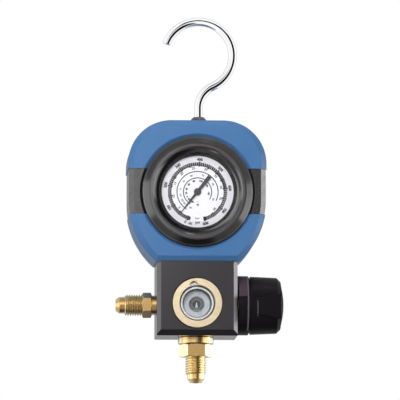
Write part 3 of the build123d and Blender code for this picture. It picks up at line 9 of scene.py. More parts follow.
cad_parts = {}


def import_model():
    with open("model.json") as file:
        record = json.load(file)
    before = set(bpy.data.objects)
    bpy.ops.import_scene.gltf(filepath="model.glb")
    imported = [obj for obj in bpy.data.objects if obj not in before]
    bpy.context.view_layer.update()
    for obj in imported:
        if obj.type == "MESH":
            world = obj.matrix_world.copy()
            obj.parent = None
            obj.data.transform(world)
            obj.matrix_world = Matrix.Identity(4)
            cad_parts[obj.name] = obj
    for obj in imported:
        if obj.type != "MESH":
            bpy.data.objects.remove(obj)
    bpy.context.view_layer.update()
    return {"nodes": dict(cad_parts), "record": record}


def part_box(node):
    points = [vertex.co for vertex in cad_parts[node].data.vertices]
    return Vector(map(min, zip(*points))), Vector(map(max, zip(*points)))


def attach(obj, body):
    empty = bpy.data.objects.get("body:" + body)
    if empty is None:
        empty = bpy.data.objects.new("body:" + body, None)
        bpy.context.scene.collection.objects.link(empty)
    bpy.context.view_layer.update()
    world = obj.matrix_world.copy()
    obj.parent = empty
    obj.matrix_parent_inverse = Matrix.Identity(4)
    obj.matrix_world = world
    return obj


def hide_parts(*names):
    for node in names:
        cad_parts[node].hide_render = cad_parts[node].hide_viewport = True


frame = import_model()
NODES = frame["nodes"]
MM = 0.001

# ---------------------------------------------------------------- places taken from the frame
DIAL_LOW, DIAL_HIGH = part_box("dial_plate")
GAUGE = Vector(((DIAL_LOW.x + DIAL_HIGH.x) / 2, DIAL_LOW.y, (DIAL_LOW.z + DIAL_HIGH.z) / 2))
BLOCK_LOW, BLOCK_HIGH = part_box("manifold_block")
BLOCK_X = (BLOCK_LOW.x + BLOCK_HIGH.x) / 2
LEFT_LOW, LEFT_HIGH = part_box("left_port_fitting")
BOTTOM_LOW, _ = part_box("bottom_port_fitting")
PORT_Z = (LEFT_LOW.z + LEFT_HIGH.z) / 2
SIGHT_LOW, SIGHT_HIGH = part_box("sight_cup")

# ---------------------------------------------------------------- camera
VIEW_AZIMUTH = -3.0
VIEW_ELEVATION = -6.2
CAMERA_DISTANCE = 2.5
FRAME_WIDTH = 0.208
AIM = Vector((0.0008, 0.0, -0.0912))

# ---------------------------------------------------------------- print on the dial
# Angles on the dial are clock angles in degrees: clockwise from the top, as seen from the front.
PRINT_THICKNESS = 0.02 * MM
TICK_INNER, TICK_OUTER = 13.45 * MM, 15.35 * MM
PRESSURE_END, PRESSURE_STEP = 800, 10
# Step of the values that have such a mark, how far it passes TICK_INNER and TICK_OUTER, and its width.
MARKS = (
    (100, 0.25 * MM, 0.4 * MM, 0.95 * MM),
    (50, 0.35 * MM, 0.1 * MM, 0.95 * MM),
    (PRESSURE_STEP, 0, 0, 0.9 * MM),
)
# Solid blocks at the scale's two ends.
END_BLOCK_SPAN, END_BLOCK_STEP = 3.6, 1.2
LOW_BLOCK_LEAD = 5.6
OUTER_NUMBERS_R = 16.8 * MM
INNER_NUMBERS_R = 12.4 * MM
OUTER_ARC_R, INNER_ARC_R = 10.6 * MM, 7.3 * MM
ARC_WIDTH, ARC_STEP = 0.46 * MM, 3.0
# The arcs of the two temperature scales, and the fine ticks on both.
ARCS_START, OUTER_ARC_END, INNER_ARC_END = 212, 476, 483
FINE_START, FINE_STEP, FINE_COUNT = 213, 5.3, 50
FINE_WIDTH, OUTER_FINE_LENGTH, INNER_FINE_LENGTH = 0.16 * MM, 0.45 * MM, 0.4 * MM
GREY_NUMBERS_R, DARK_NUMBERS_R = 8.9 * MM, 5.8 * MM
BAND_R, BAND_WIDTH = 16.9 * MM, 3.1 * MM
BAND_SINK = PRINT_THICKNESS * 0.6
UPSIDE_DOWN = 180
BOTTOM_CLOCK = 180
# Clock angle of each numbered mark.
PRESSURE_CLOCK = {0: 200.5, 100: 240.3, 200: 282, 300: 323, 400: 364, 500: 405, 600: 443, 700: 485,
                  800: 525.8}
BAR_CLOCK = {5: 229, 10: 259, 15: 290, 20: 319, 25: 350, 30: 380, 35: 409, 40: 439, 45: 466, 50: 495}
# The two numbers at the scale's low end, which stand upside down.
ZERO_CLOCK, VACUUM_CLOCK = 202, 193.5
VACUUM_LIFT = 0.1 * MM
# Both temperature scales start at the same number.
COLDEST = -40
FAHRENHEIT_STEP, CELSIUS_STEP = 20, 10
FAHRENHEIT_CLOCK = (205, 227, 245, 264, 284, 310, 341, 17, 54, 97)
CELSIUS_CLOCK = (202, 227, 239, 257, 279, 307, 339, 18, 63, 115)

# ---------------------------------------------------------------- flare fittings
# The thread is the 7/16-20 flare: 20 turns an inch, 11.11 mm across.
THREAD_PITCH = 1.27 * MM
THREAD_DEPTH = 0.78 * MM
THREAD_ROWS = 20           # rows of vertices in each turn
THREAD_CREST_R = 5.555 * MM
THREAD_CHAMFER, CHAMFER_SLOPE = 0.7 * MM, 0.9
THREAD_GAP = 0.02 * MM     # between the hexagon and the first thread
CREST_SHARE, FLANK_SHARE = 0.12, 0.7    # of half a pitch
BORE_R, BORE_CHAMFER = 2.4 * MM, 0.2 * MM
BORE_RIM = 0.25 * MM
DRILL_POINT, DRILL_POINT_R = 0.6, 0.05 * MM    # length as a share of the bore's radius, and tip
LEFT_BORE_DEPTH, BOTTOM_BORE_DEPTH = 20 * MM, 26 * MM
HEX_LEAD = 0.495 * MM      # length over which a hexagon's corners are turned off
HEX_LEAD_STEPS = (0.0, 0.25, 0.5, 0.75, 1.0)
ROOT_DEPTH, ROOT_R = 8.4 * MM, 4.7 * MM
STEP_GAP = 0.01 * MM       # keeps two rows at a shoulder apart
CONE_END_R = 3.0 * MM
NOSE_EDGE, NOSE_BREAK = 0.3 * MM, 0.2 * MM
SHARP_ANGLE = 32           # degrees, above which an edge outside the thread stays sharp
ROUND_STEPS = 96

# ---------------------------------------------------------------- sight glass
WELL_R, WELL_RING_WIDTH = 2.55 * MM, 0.3 * MM
# Depths behind the middle of the cup.
WELL_RING_TOP, WELL_FLOOR_TOP, WELL_FLOOR_BACK = 0.1 * MM, 0.3 * MM, 0.42 * MM
SIGHT_PLATE_THICKNESS = 0.1 * MM
TRIANGLE_MM = ((-0.75, -1.75), (0.75, -1.75), (0.2, 1.1), (-0.1, 1.1))
BAR_MM = ((-1.9, -3.35), (1.9, -3.35), (2.1, -2.7), (-2.1, -2.7))

# ---------------------------------------------------------------- shading
NOISE_ROUGHNESS = 0.6
USUAL_NOISE_LOW, USUAL_NOISE_HIGH = 0.3, 0.7    # most of a noise lies between them
GRAIN_DEPTH = 0.05 * MM
GLOSS_PATCH_RATIO = 2.3
PALE_FROM, PALE_TO = 0.2, 0.62    # of the layer weight's facing
EDGE_SAMPLES = 6
RING_SPAN = 30 * MM    # reach of the ramp that colours rings
RING_GLOSS_SCALE = 300
SMEAR_SCALE = 60
PATCH_BLUR = 0.1 * MM

# ---------------------------------------------------------------- surroundings
FLOOR_SIZE, FLOOR_Z = 12, -0.75
FLOOR_LIFT = 0.55      # glow of the floor, for the camera only
CLIP_END = 50
LIGHTS_AIM = (0, 0, -0.09)
AMBIENT = 0.34
AMBIENT_COLOR = (0.96, 0.98, 1.0, 1.0)
WHITE = (1, 1, 1, 1)


# ---------------------------------------------------------------- materials
MATERIALS = {}


def linear(red, green, blue):
    """Linear colour of an sRGB colour given in 0..255."""
    def channel(value):
        value /= 255
        return value / 12.92 if value <= 0.04045 else ((value + 0.055) / 1.055) ** 2.4
    return (channel(red), channel(green), channel(blue), 1.0)


def shaded(color, factor):
    return tuple(min(1.0, c * factor) for c in color[:3]) + (1.0,)


def new_material(name):
    """Empty material, kept under its plain name, because the frame has some of the same names."""
    material = bpy.data.materials.new(name)
    material.use_nodes = True
    MATERIALS[name] = material
    return material


def noise_factor(tree, scale, detail=4.0, stretch=(1, 1, 1)):
    """Noise in object space, stretched along an axis for brushed or turned marks."""
    coords = tree.nodes.new("ShaderNodeTexCoord")
    mapping = tree.nodes.new("ShaderNodeMapping")
    mapping.inputs["Scale"].default_value = stretch
    noise = tree.nodes.new("ShaderNodeTexNoise")
    noise.inputs["Scale"].default_value = scale
    noise.inputs["Detail"].default_value = detail
    noise.inputs["Roughness"].default_value = NOISE_ROUGHNESS
    tree.links.new(coords.outputs["Object"], mapping.inputs["Vector"])
    tree.links.new(mapping.outputs["Vector"], noise.inputs["Vector"])
    return noise.outputs["Fac"]


def spread(tree, factor, low, high):
    """The usual span of a noise spread over low to high."""
    ranged = tree.nodes.new("ShaderNodeMapRange")
    ranged.inputs["From Min"].default_value = USUAL_NOISE_LOW
    ranged.inputs["From Max"].default_value = USUAL_NOISE_HIGH
    ranged.inputs["To Min"].default_value = low
    ranged.inputs["To Max"].default_value = high
    tree.links.new(factor, ranged.inputs["Value"])
    return ranged.outputs["Result"]


def vary_gloss(tree, factor, rough, rough_spread):
    """Roughness that follows a noise."""
    roughness = tree.nodes["Principled BSDF"].inputs["Roughness"]
    tree.links.new(spread(tree, factor, rough - rough_spread, rough + rough_spread), roughness)


def pale_edges(tree, color, pale):
    """Colour painted paler where the surface is seen at a low angle: a painted sheen, standing for the
    grazing reflection of lacquered metal.
    """
    weight = tree.nodes.new("ShaderNodeLayerWeight")
    weight.inputs["Blend"].default_value = 0.5
    share = tree.nodes.new("ShaderNodeMapRange")
    share.inputs["From Min"].default_value = PALE_FROM
    share.inputs["From Max"].default_value = PALE_TO
    tree.links.new(weight.outputs["Facing"], share.inputs["Value"])
    mix = tree.nodes.new("ShaderNodeMix")
    mix.data_type = "RGBA"
    mix.inputs["B"].default_value = pale
    tree.links.new(share.outputs["Result"], mix.inputs["Factor"])
    tree.links.new(color, mix.inputs["A"])
    return mix.outputs["Result"]


def round_edges(tree, radius):
    """Shading of small rounded edges, as moulding and machining leave them."""
    rounding = tree.nodes.new("ShaderNodeBevel")
    rounding.samples = EDGE_SAMPLES
    rounding.inputs["Radius"].default_value = radius
    return rounding.outputs["Normal"]


def surface(name, color, rough, shade=0.06, rough_spread=0.05, patch=120, stretch=(1, 1, 1),
            grain=0.0, grain_scale=2500, grain_stretch=None, second=None, pale=None, edge=0.0, **sockets):
    """Material whose colour, gloss and fine relief vary over the surface.

    The colour varies by shade and towards a second colour, in patches of about 1/patch metres, and the
    roughness by rough_spread. Pale is the colour at low angles, and edge the radius of rounded edges.
    """
    material = new_material(name)
    tree = material.node_tree
    shader = tree.nodes["Principled BSDF"]
    patches = noise_factor(tree, patch, stretch=stretch)
    mix = tree.nodes.new("ShaderNodeMix")
    mix.data_type = "RGBA"
    mix.inputs["A"].default_value = shaded(color, 1 - shade)
    mix.inputs["B"].default_value = shaded(second or color, 1 + shade)
    tree.links.new(spread(tree, patches, 0.0, 1.0), mix.inputs["Factor"])
    shown = pale_edges(tree, mix.outputs["Result"], pale) if pale else mix.outputs["Result"]
    tree.links.new(shown, shader.inputs["Base Color"])
    gloss = noise_factor(tree, patch * GLOSS_PATCH_RATIO, stretch=stretch)
    vary_gloss(tree, gloss, rough, rough_spread)
    normal = round_edges(tree, edge) if edge else None
    if grain:
        relief = noise_factor(tree, grain_scale, detail=2.0, stretch=grain_stretch or stretch)
        bump = tree.nodes.new("ShaderNodeBump")
        bump.inputs["Strength"].default_value = grain
        bump.inputs["Distance"].default_value = GRAIN_DEPTH
        tree.links.new(relief, bump.inputs["Height"])
        if normal:
            tree.links.new(normal, bump.inputs["Normal"])
        normal = bump.outputs["Normal"]
    if normal:
        tree.links.new(normal, shader.inputs["Normal"])
    for socket, value in sockets.items():
        shader.inputs[socket.replace("_", " ")].default_value = value
    return material


def ringed(name, rings, rough, metallic, mottle=0.0, tints=(), centre=(BLOCK_X, 0, PORT_Z),
           rough_spread=0.06):
    """Colours in rings about an axis along Y, from (radius in mm, colour) pairs, with mottling.

    Each tint is a (scale, colour) pair that is mixed in by a noise, up to the share that mottle gives.
    """
    tree = new_material(name).node_tree
    shader = tree.nodes["Principled BSDF"]
    coords = tree.nodes.new("ShaderNodeTexCoord")
    offset = tree.nodes.new("ShaderNodeVectorMath")
    offset.operation = "SUBTRACT"
    offset.inputs[1].default_value = centre
    flat = tree.nodes.new("ShaderNodeVectorMath")
    flat.operation = "MULTIPLY"
    flat.inputs[1].default_value = (1 / RING_SPAN, 0, 1 / RING_SPAN)
    length = tree.nodes.new("ShaderNodeVectorMath")
    length.operation = "LENGTH"
    tree.links.new(coords.outputs["Object"], offset.inputs[0])
    tree.links.new(offset.outputs["Vector"], flat.inputs[0])
    tree.links.new(flat.outputs["Vector"], length.inputs[0])
    ramp = tree.nodes.new("ShaderNodeValToRGB")
    stops = ramp.color_ramp.elements
    stops.remove(stops[-1])
    for index, (radius, color) in enumerate(rings):
        stop = stops.new(radius * MM / RING_SPAN) if index else stops[0]
        stop.color = color
    tree.links.new(length.outputs["Value"], ramp.inputs["Fac"])
    shown = ramp.outputs["Color"]
    for scale, tint in tints:
        mix = tree.nodes.new("ShaderNodeMix")
        mix.data_type = "RGBA"
        mix.inputs["B"].default_value = tint
        tree.links.new(spread(tree, noise_factor(tree, scale), 0.0, mottle), mix.inputs["Factor"])
        tree.links.new(shown, mix.inputs["A"])
        shown = mix.outputs["Result"]
    tree.links.new(shown, shader.inputs["Base Color"])
    vary_gloss(tree, noise_factor(tree, RING_GLOSS_SCALE), rough, rough_spread)
    shader.inputs["Metallic"].default_value = metallic


class NodeMath:
    """Short way to write sums in shader nodes."""

    def __init__(self, tree):
        self.tree = tree

    def __call__(self, operation, *values):
        node = self.tree.nodes.new("ShaderNodeMath")
        node.operation = operation
        for socket, value in zip(node.inputs, values):
            if isinstance(value, (int, float)):
                socket.default_value = value
            else:
                self.tree.links.new(value, socket)
        return node.outputs[0]

    def outside(self, value, middle, half, blur):
        """0 within half of the middle, 1 beyond it, with a soft edge."""
        node = self.tree.nodes.new("ShaderNodeMapRange")
        node.interpolation_type = "SMOOTHSTEP"
        node.inputs["From Min"].default_value = half - blur
        node.inputs["From Max"].default_value = half + blur
        distance = self("ABSOLUTE", self("SUBTRACT", value, middle))
        self.tree.links.new(distance, node.inputs["Value"])
        return node.outputs["Result"]


def tint_patches(material, patches):
    """Highlights painted as other colours inside boxes of the row frame, from (low x, high x, low z, high
    z, colour).
    """
    tree = material.node_tree
    shader = tree.nodes["Principled BSDF"]
    shown = shader.inputs["Base Color"].links[0].from_socket
    coords = tree.nodes.new("ShaderNodeTexCoord")
    split = tree.nodes.new("ShaderNodeSeparateXYZ")
    tree.links.new(coords.outputs["Object"], split.inputs[0])
    sums = NodeMath(tree)
    for low_x, high_x, low_z, high_z, color in patches:
        out_x = sums.outside(split.outputs["X"], (low_x + high_x) / 2, (high_x - low_x) / 2, PATCH_BLUR)
        out_z = sums.outside(split.outputs["Z"], (low_z + high_z) / 2, (high_z - low_z) / 2, PATCH_BLUR)
        mix = tree.nodes.new("ShaderNodeMix")
        mix.data_type = "RGBA"
        mix.inputs["A"].default_value = color
        tree.links.new(sums("MAXIMUM", out_x, out_z), mix.inputs["Factor"])
        tree.links.new(shown, mix.inputs["B"])
        shown = mix.outputs["Result"]
    tree.links.new(shown, shader.inputs["Base Color"])


def clear_window(name, tint, ior):
    """Clear window: see-through, with the reflections of its polished face."""
    tree = new_material(name).node_tree
    tree.nodes.remove(tree.nodes["Principled BSDF"])
    through = tree.nodes.new("ShaderNodeBsdfTransparent")
    through.inputs["Color"].default_value = tint
    gloss = tree.nodes.new("ShaderNodeBsdfGlossy")
    smears = noise_factor(tree, SMEAR_SCALE)
    tree.links.new(spread(tree, smears, 0.01, 0.05), gloss.inputs["Roughness"])
    fresnel = tree.nodes.new("ShaderNodeFresnel")
    fresnel.inputs["IOR"].default_value = ior
    mix = tree.nodes.new("ShaderNodeMixShader")
    tree.links.new(fresnel.outputs["Fac"], mix.inputs["Fac"])
    tree.links.new(through.outputs["BSDF"], mix.inputs[1])
    tree.links.new(gloss.outputs["BSDF"], mix.inputs[2])
    tree.links.new(mix.outputs["Shader"], tree.nodes["Material Output"].inputs["Surface"])


def make_materials():
    """All looks. Those of CAD nodes carry the name of their slot, but each fitting has its own brass."""
    turned_x = (40, 1, 1)
    turned_z = (1, 1, 40)
    surface("housing_blue", linear(74, 121, 174), 0.36, 0.03, 0.04, 60, grain=0.08,
            grain_scale=3500, second=linear(77, 121, 170), edge=0.3 * MM,
            Specular_IOR_Level=0.15)
    surface("grip_black", linear(34, 32, 34), 0.26, 0.08, 0.05, 90, grain=0.1,
            grain_scale=2600, edge=0.25 * MM, Specular_IOR_Level=0.5)
    surface("screw_steel", linear(176, 176, 178), 0.3, 0.1, 0.08, 500, Metallic=1.0, grain=0.2)
    surface("hook_chrome", linear(252, 252, 254), 0.03, 0.01, 0.012, 200, Metallic=1.0)
    surface("collar_black", linear(70, 66, 70), 0.22, 0.1, 0.05, 300, grain=0.05)
    # Painted highlights: the bezel is lighter at its crest, 22.9 to 24.3 mm, and towards its outer edge
    # from 27.4 mm; elsewhere it keeps its own near-black, with random darker mottling.
    ringed("bezel_black", ((0, linear(20, 18, 20)), (22.5, linear(20, 18, 20)),
                           (22.9, linear(74, 70, 73)), (24.3, linear(72, 68, 71)),
                           (24.7, linear(20, 18, 20)), (27.4, linear(22, 20, 22)),
                           (28.2, linear(62, 59, 62))), 0.17, 0.0, 0.25,
           ((160, linear(16, 14, 16)),), (GAUGE.x, 0, GAUGE.z), 0.03)
    clear_window("lens_clear", (0.995, 0.995, 1.0, 1.0), 1.2)
    surface("seal_rubber", linear(26, 26, 26), 0.6, 0.1, 0.05, 300, grain=0.3)
    surface("case_black", linear(30, 30, 31), 0.4, 0.1, 0.08, 300, grain=0.1)
    # Painted light: the dial glows slightly, which lifts it in the shade of its recess under the bezel
    # and lens.
    surface("dial_white", linear(253, 252, 254), 0.45, 0.012, 0.04, 90, grain=0.05,
            Emission_Color=(1, 1, 1, 1), Emission_Strength=0.08)
    surface("pointer_black", linear(58, 57, 58), 0.45, 0.06, 0.05, 500, grain=0.1)
    surface("arbor_steel", linear(170, 170, 172), 0.25, 0.08, 0.06, 600, Metallic=1.0)
    surface("movement_brass", linear(196, 162, 100), 0.3, 0.08, 0.08, 300, Metallic=1.0,
            grain=0.15, stretch=(1, 1, 12))
    surface("spring_bronze", linear(186, 140, 84), 0.3, 0.06, 0.05, 300, Metallic=1.0)
    surface("tube_bronze", linear(184, 138, 84), 0.34, 0.1, 0.08, 200, Metallic=1.0, grain=0.1)
    surface("socket_brass", linear(200, 168, 108), 0.3, 0.08, 0.08, 200, Metallic=1.0,
            grain=0.15, stretch=turned_z)
    surface("block_black", linear(43, 38, 42), 0.22, 0.05, 0.03, 110, grain=0.015,
            grain_scale=2200, grain_stretch=(1, 1, 0.08), edge=0.15 * MM,
            Specular_IOR_Level=0.45)
    ringed("sight_nickel", ((0, linear(150, 130, 100)), (9.3, linear(168, 146, 112)),
                            (9.55, linear(236, 218, 190)), (12.35, linear(234, 217, 188)),
                            (12.65, linear(150, 132, 104))), 0.34, 0.55, 0.85,
           ((260, linear(240, 208, 200)), (330, linear(214, 220, 172)),
            (420, linear(222, 194, 156))))
    # Painted shadow: the frame's dark ring from 8.55 to 9.35 mm stands for the shade in the gap between
    # its rim and the ring nut.
    ringed("sight_steel", ((0, linear(222, 225, 224)), (8.35, linear(222, 226, 224)),
                           (8.55, linear(26, 23, 20)), (9.35, linear(26, 23, 20)),
                           (9.6, linear(240, 236, 226))), 0.24, 0.4, 0.3,
           ((700, linear(190, 193, 196)),))
    clear_window("sight_clear", (0.95, 0.96, 0.97, 1.0), 1.45)
    # Painted shade: the cup's dark middle within 3.75 mm and the grey step up to 4.6 mm stand for the
    # shade of its recess; from 6.5 mm outwards the disc grows darker towards its edge.
    ringed("cup_bright", ((0, linear(60, 61, 65)), (3.75, linear(50, 50, 54)),
                          (3.95, linear(186, 188, 192)), (4.6, linear(236, 238, 241)),
                          (6.5, linear(240, 242, 244)), (6.75, linear(168, 174, 178)),
                          (7.2, linear(130, 136, 140))), 0.3, 0.1, 0.25,
           ((500, linear(206, 210, 216)),))
    surface("ring_light", linear(150, 152, 156), 0.35, 0.06, 0.05, 900, Metallic=0.3)
    # Painted shade: the dark floor set into the sight glass's well.
    surface("well_painted_shade", linear(52, 52, 56), 0.35, 0.08, 0.05, 900)
    # Painted highlight: the white triangle in the sight glass's well.
    surface("glint_painted_white", linear(232, 234, 236), 0.4, 0.03, 0.05, 900)
    # Painted sheen: both fittings turn paler where they are seen at a low angle.
    surface("fitting_brass_left", linear(172, 140, 90), 0.33, 0.07, 0.06, 200,
            Metallic=1.0, grain=0.03, stretch=turned_x, grain_scale=900,
            pale=linear(216, 206, 176))
    surface("fitting_brass_bottom", linear(190, 158, 104), 0.3, 0.07, 0.06, 200,
            Metallic=1.0, grain=0.03, stretch=turned_z, grain_scale=900,
            pale=linear(222, 213, 184))
    surface("valve_brass", linear(198, 166, 106), 0.28, 0.08, 0.06, 200, Metallic=1.0,
            grain=0.12, stretch=turned_x)
    surface("seat_white", linear(236, 235, 230), 0.5, 0.02, 0.05, 300, grain=0.05)
    surface("knob_black", linear(25, 21, 25), 0.34, 0.08, 0.06, 120, grain=0.08,
            grain_scale=2600, edge=0.25 * MM, Specular_IOR_Level=0.06)
    surface("print_black", linear(22, 22, 25), 0.5, 0.05, 0.05, 900)
    surface("print_grey", linear(112, 112, 108), 0.5, 0.05, 0.05, 900)
    # Painted light: the lilac band glows slightly, as the dial does.
    surface("print_lilac", linear(234, 232, 237), 0.45, 0.012, 0.04, 90,
            Emission_Color=(1, 1, 1, 1), Emission_Strength=0.05)


# Highlights painted into the knob's colour where the photo shows them, as (low x, high x, low z, high z,
# colour).
KNOB_PAINTED_HIGHLIGHTS = (
    (19.0 * MM, 24.6 * MM, -142.5 * MM, -130.0 * MM, linear(78, 64, 76)),    # painted sheen on the upper skirt
    (24.7 * MM, 25.4 * MM, -160.0 * MM, -130.0 * MM, linear(104, 98, 103)),  # painted highlight along the groove beside the skirt
    (29.7 * MM, 30.2 * MM, -152.7 * MM, -144.9 * MM, linear(92, 88, 92)),    # painted highlight on the edge of the pad
)
make_materials()
tint_patches(MATERIALS["knob_black"], KNOB_PAINTED_HIGHLIGHTS)


def wear(piece, key):
    piece.data.materials.clear()
    piece.data.materials.append(MATERIALS[key])


def dress_cad_nodes():
    """Each node takes the look of the slot that the record gives it."""
    own_names = {"fitting_brass": "fitting_brass_left"}
    for subpart in frame["record"]["subparts"]:
        slot = subpart["material_slot"]
        wear(NODES[subpart["node"]], own_names.get(slot, slot))


# ---------------------------------------------------------------- meshes
def add_piece(name, mesh, key):
    piece = bpy.data.objects.new(name, mesh)
    bpy.context.scene.collection.objects.link(piece)
    wear(piece, key)
    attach(piece, "manifold")
    return piece


def on_dial(clock, radius):
    """Point on the dial at a clock angle and a radius, in the plane y = 0."""
    angle = math.radians(clock)
    return Vector((GAUGE.x + radius * math.sin(angle), 0, GAUGE.z + radius * math.cos(angle)))


def add_print(work, outline, back, thickness=PRINT_THICKNESS):
    """Thin plate from an outline of points, standing in front of the plane y = back."""
    front = [work.verts.new((p.x, back - thickness, p.z)) for p in outline]
    rear = [work.verts.new((p.x, back, p.z)) for p in outline]
    work.faces.new(front)
    work.faces.new(list(reversed(rear)))
    for i, corner in enumerate(front):
        j = (i + 1) % len(front)
        work.faces.new((corner, rear[i], rear[j], front[j]))


def tick(work, clock, inner, outer, width, back):
    """Radial mark on the dial."""
    along = on_dial(clock, 1) - on_dial(clock, 0)
    side = Vector((along.z, 0, -along.x)) * width / 2
    low, high = on_dial(clock, inner), on_dial(clock, outer)
    add_print(work, [low - side, low + side, high + side, high - side], back)


def arc_band(work, start, end, radius, width, back, step=ARC_STEP):
    """Arc on the dial between two clock angles, in plates of about one step."""
    count = max(2, math.ceil(abs(end - start) / step))
    for i in range(count):
        a = start + (end - start) * i / count
        b = start + (end - start) * (i + 1) / count
        outline = [on_dial(a, radius - width / 2), on_dial(b, radius - width / 2),
                   on_dial(b, radius + width / 2), on_dial(a, radius + width / 2)]
        add_print(work, outline, back)


def finish_mesh(work, name):
    bmesh.ops.recalc_face_normals(work, faces=work.faces)
    mesh = bpy.data.meshes.new(name)
    work.to_mesh(mesh)
    work.free()
    return mesh


def add_text(work, text, clock, radius, size, turn, bold):
    """Characters on the dial, turned about their middle and thickened by bold."""
    curve = bpy.data.curves.new("lettering", "FONT")
    curve.body = text
    curve.size = size
    curve.align_x = "CENTER"
    curve.align_y = "CENTER"
    curve.extrude = PRINT_THICKNESS / 2
    curve.offset = bold
    curve.resolution_u = 3
    holder = bpy.data.objects.new("lettering", curve)
    bpy.context.scene.collection.objects.link(holder)
    bpy.context.view_layer.update()
    mesh = bpy.data.meshes.new_from_object(holder.evaluated_get(bpy.context.evaluated_depsgraph_get()))
    place = on_dial(clock, radius)
    place.y = GAUGE.y - PRINT_THICKNESS / 2
    stand = Matrix.Rotation(math.radians(90), 4, "X")
    mesh.transform(Matrix.Translation(place) @ Matrix.Rotation(math.radians(turn), 4, "Y") @ stand)
    work.from_mesh(mesh)
    bpy.data.objects.remove(holder)
    bpy.data.meshes.remove(mesh)


def scale_clock(value, table):
    """Clock angle of a value between the numbered marks of a scale."""
    marks = sorted(table)
    for low, high in zip(marks, marks[1:]):
        if value <= high:
            return table[low] + (table[high] - table[low]) * (value - low) / (high - low)
    return table[marks[-1]]


def print_scales(face):
    """Marks of the pressure scale and the arcs with fine ticks of the two temperature scales."""
    work = bmesh.new()
    for value in range(0, PRESSURE_END + 1, PRESSURE_STEP):
        inward, outward, width = next(mark[1:] for mark in MARKS if value % mark[0] == 0)
        clock = scale_clock(value, PRESSURE_CLOCK)
        tick(work, clock, TICK_INNER - inward, TICK_OUTER + outward, width, face)
    for start in (PRESSURE_CLOCK[0] - LOW_BLOCK_LEAD, PRESSURE_CLOCK[PRESSURE_END] - END_BLOCK_SPAN):
        arc_band(work, start, start + END_BLOCK_SPAN, (TICK_INNER + TICK_OUTER) / 2,
                 TICK_OUTER - TICK_INNER, face, END_BLOCK_STEP)
    arc_band(work, ARCS_START, OUTER_ARC_END, OUTER_ARC_R, ARC_WIDTH, face)
    arc_band(work, ARCS_START, INNER_ARC_END, INNER_ARC_R, ARC_WIDTH, face)
    for index in range(FINE_COUNT):
        clock = FINE_START + index * FINE_STEP
        tick(work, clock, OUTER_ARC_R, OUTER_ARC_R + OUTER_FINE_LENGTH, FINE_WIDTH, face)
        tick(work, clock, INNER_ARC_R - INNER_FINE_LENGTH, INNER_ARC_R, FINE_WIDTH, face)
    add_piece("dial_scale_print", finish_mesh(work, "dial_scale_print"), "print_black")


def dark_labels():
    """Pressure and outer temperature numbers: text, clock angle, radius, size, turn, boldness."""
    labels = [(str(value), clock, OUTER_NUMBERS_R, 1.95 * MM, clock, 0.11 * MM)
              for value, clock in PRESSURE_CLOCK.items() if value]
    labels.append(("0", ZERO_CLOCK, OUTER_NUMBERS_R, 1.9 * MM, ZERO_CLOCK + UPSIDE_DOWN, 0.08 * MM))
    labels.append(("-30", VACUUM_CLOCK, OUTER_NUMBERS_R + VACUUM_LIFT, 1.7 * MM,
                   VACUUM_CLOCK + UPSIDE_DOWN, 0.07 * MM))
    for index, clock in enumerate(FAHRENHEIT_CLOCK):
        degrees = str(COLDEST + FAHRENHEIT_STEP * index)
        labels.append((degrees, clock, DARK_NUMBERS_R, 1.3 * MM, clock, 0.09 * MM))
    labels.append(("°F", BOTTOM_CLOCK, 7.0 * MM, 1.8 * MM, 0, 0.09 * MM))
    labels.append(("psi", BOTTOM_CLOCK, 15.8 * MM, 2.1 * MM, 0, 0.06 * MM))
    return labels


def grey_labels():
    """Inner pressure and temperature numbers, in the same form."""
    labels = [(str(value), clock, INNER_NUMBERS_R, 1.8 * MM, clock, 0.07 * MM)
              for value, clock in BAR_CLOCK.items()]
    for index, clock in enumerate(CELSIUS_CLOCK):
        degrees = str(COLDEST + CELSIUS_STEP * index)
        labels.append((degrees, clock, GREY_NUMBERS_R, 1.4 * MM, clock, 0.05 * MM))
    labels.append(("°C", BOTTOM_CLOCK, 5.3 * MM, 1.2 * MM, 0, 0.02 * MM))
    labels.append(("bar", BOTTOM_CLOCK, 13.7 * MM, 1.8 * MM, 0, 0.04 * MM))
    return labels


def print_labels(name, labels, key):
    work = bmesh.new()
    for label in labels:
        add_text(work, *label)
    add_piece(name, finish_mesh(work, name), key)


def print_dial():
    """Everything printed on the dial: scales, plain numbers and the tinted band around them."""
    print_scales(GAUGE.y)
    print_labels("dial_dark_numbers", dark_labels(), "print_black")
    print_labels("dial_grey_numbers", grey_labels(), "print_grey")
    band = bmesh.new()
    arc_band(band, 0, 360, BAND_R, BAND_WIDTH, GAUGE.y + BAND_SINK)
    add_piece("dial_outer_band", finish_mesh(band, "dial_outer_band"), "print_lilac")


# ---------------------------------------------------------------- sight glass
def sight_loop(radius, y):
    """Points of a circle about the sight glass's axis."""
    angles = [math.tau * i / ROUND_STEPS for i in range(ROUND_STEPS)]
    return [Vector((BLOCK_X + radius * math.sin(a), y, PORT_Z + radius * math.cos(a))) for a in angles]


def sight_ring(work, radius, width, front, back):
    """Flat ring about the sight glass's axis."""
    corners = ((radius, front), (radius, back), (radius - width, back), (radius - width, front))
    loops = [[work.verts.new(point) for point in sight_loop(*corner)] for corner in corners]
    for a, b in zip(loops, loops[1:] + loops[:1]):
        for i in range(ROUND_STEPS):
            j = (i + 1) % ROUND_STEPS
            work.faces.new((a[i], a[j], b[j], b[i]))


def sight_sign(work, outline_mm, back):
    """Small raised plate from (x, z) points in millimetres about the sight glass's axis."""
    outline = [Vector((BLOCK_X + x * MM, 0, PORT_Z + z * MM)) for x, z in outline_mm]
    add_print(work, outline, back, SIGHT_PLATE_THICKNESS)


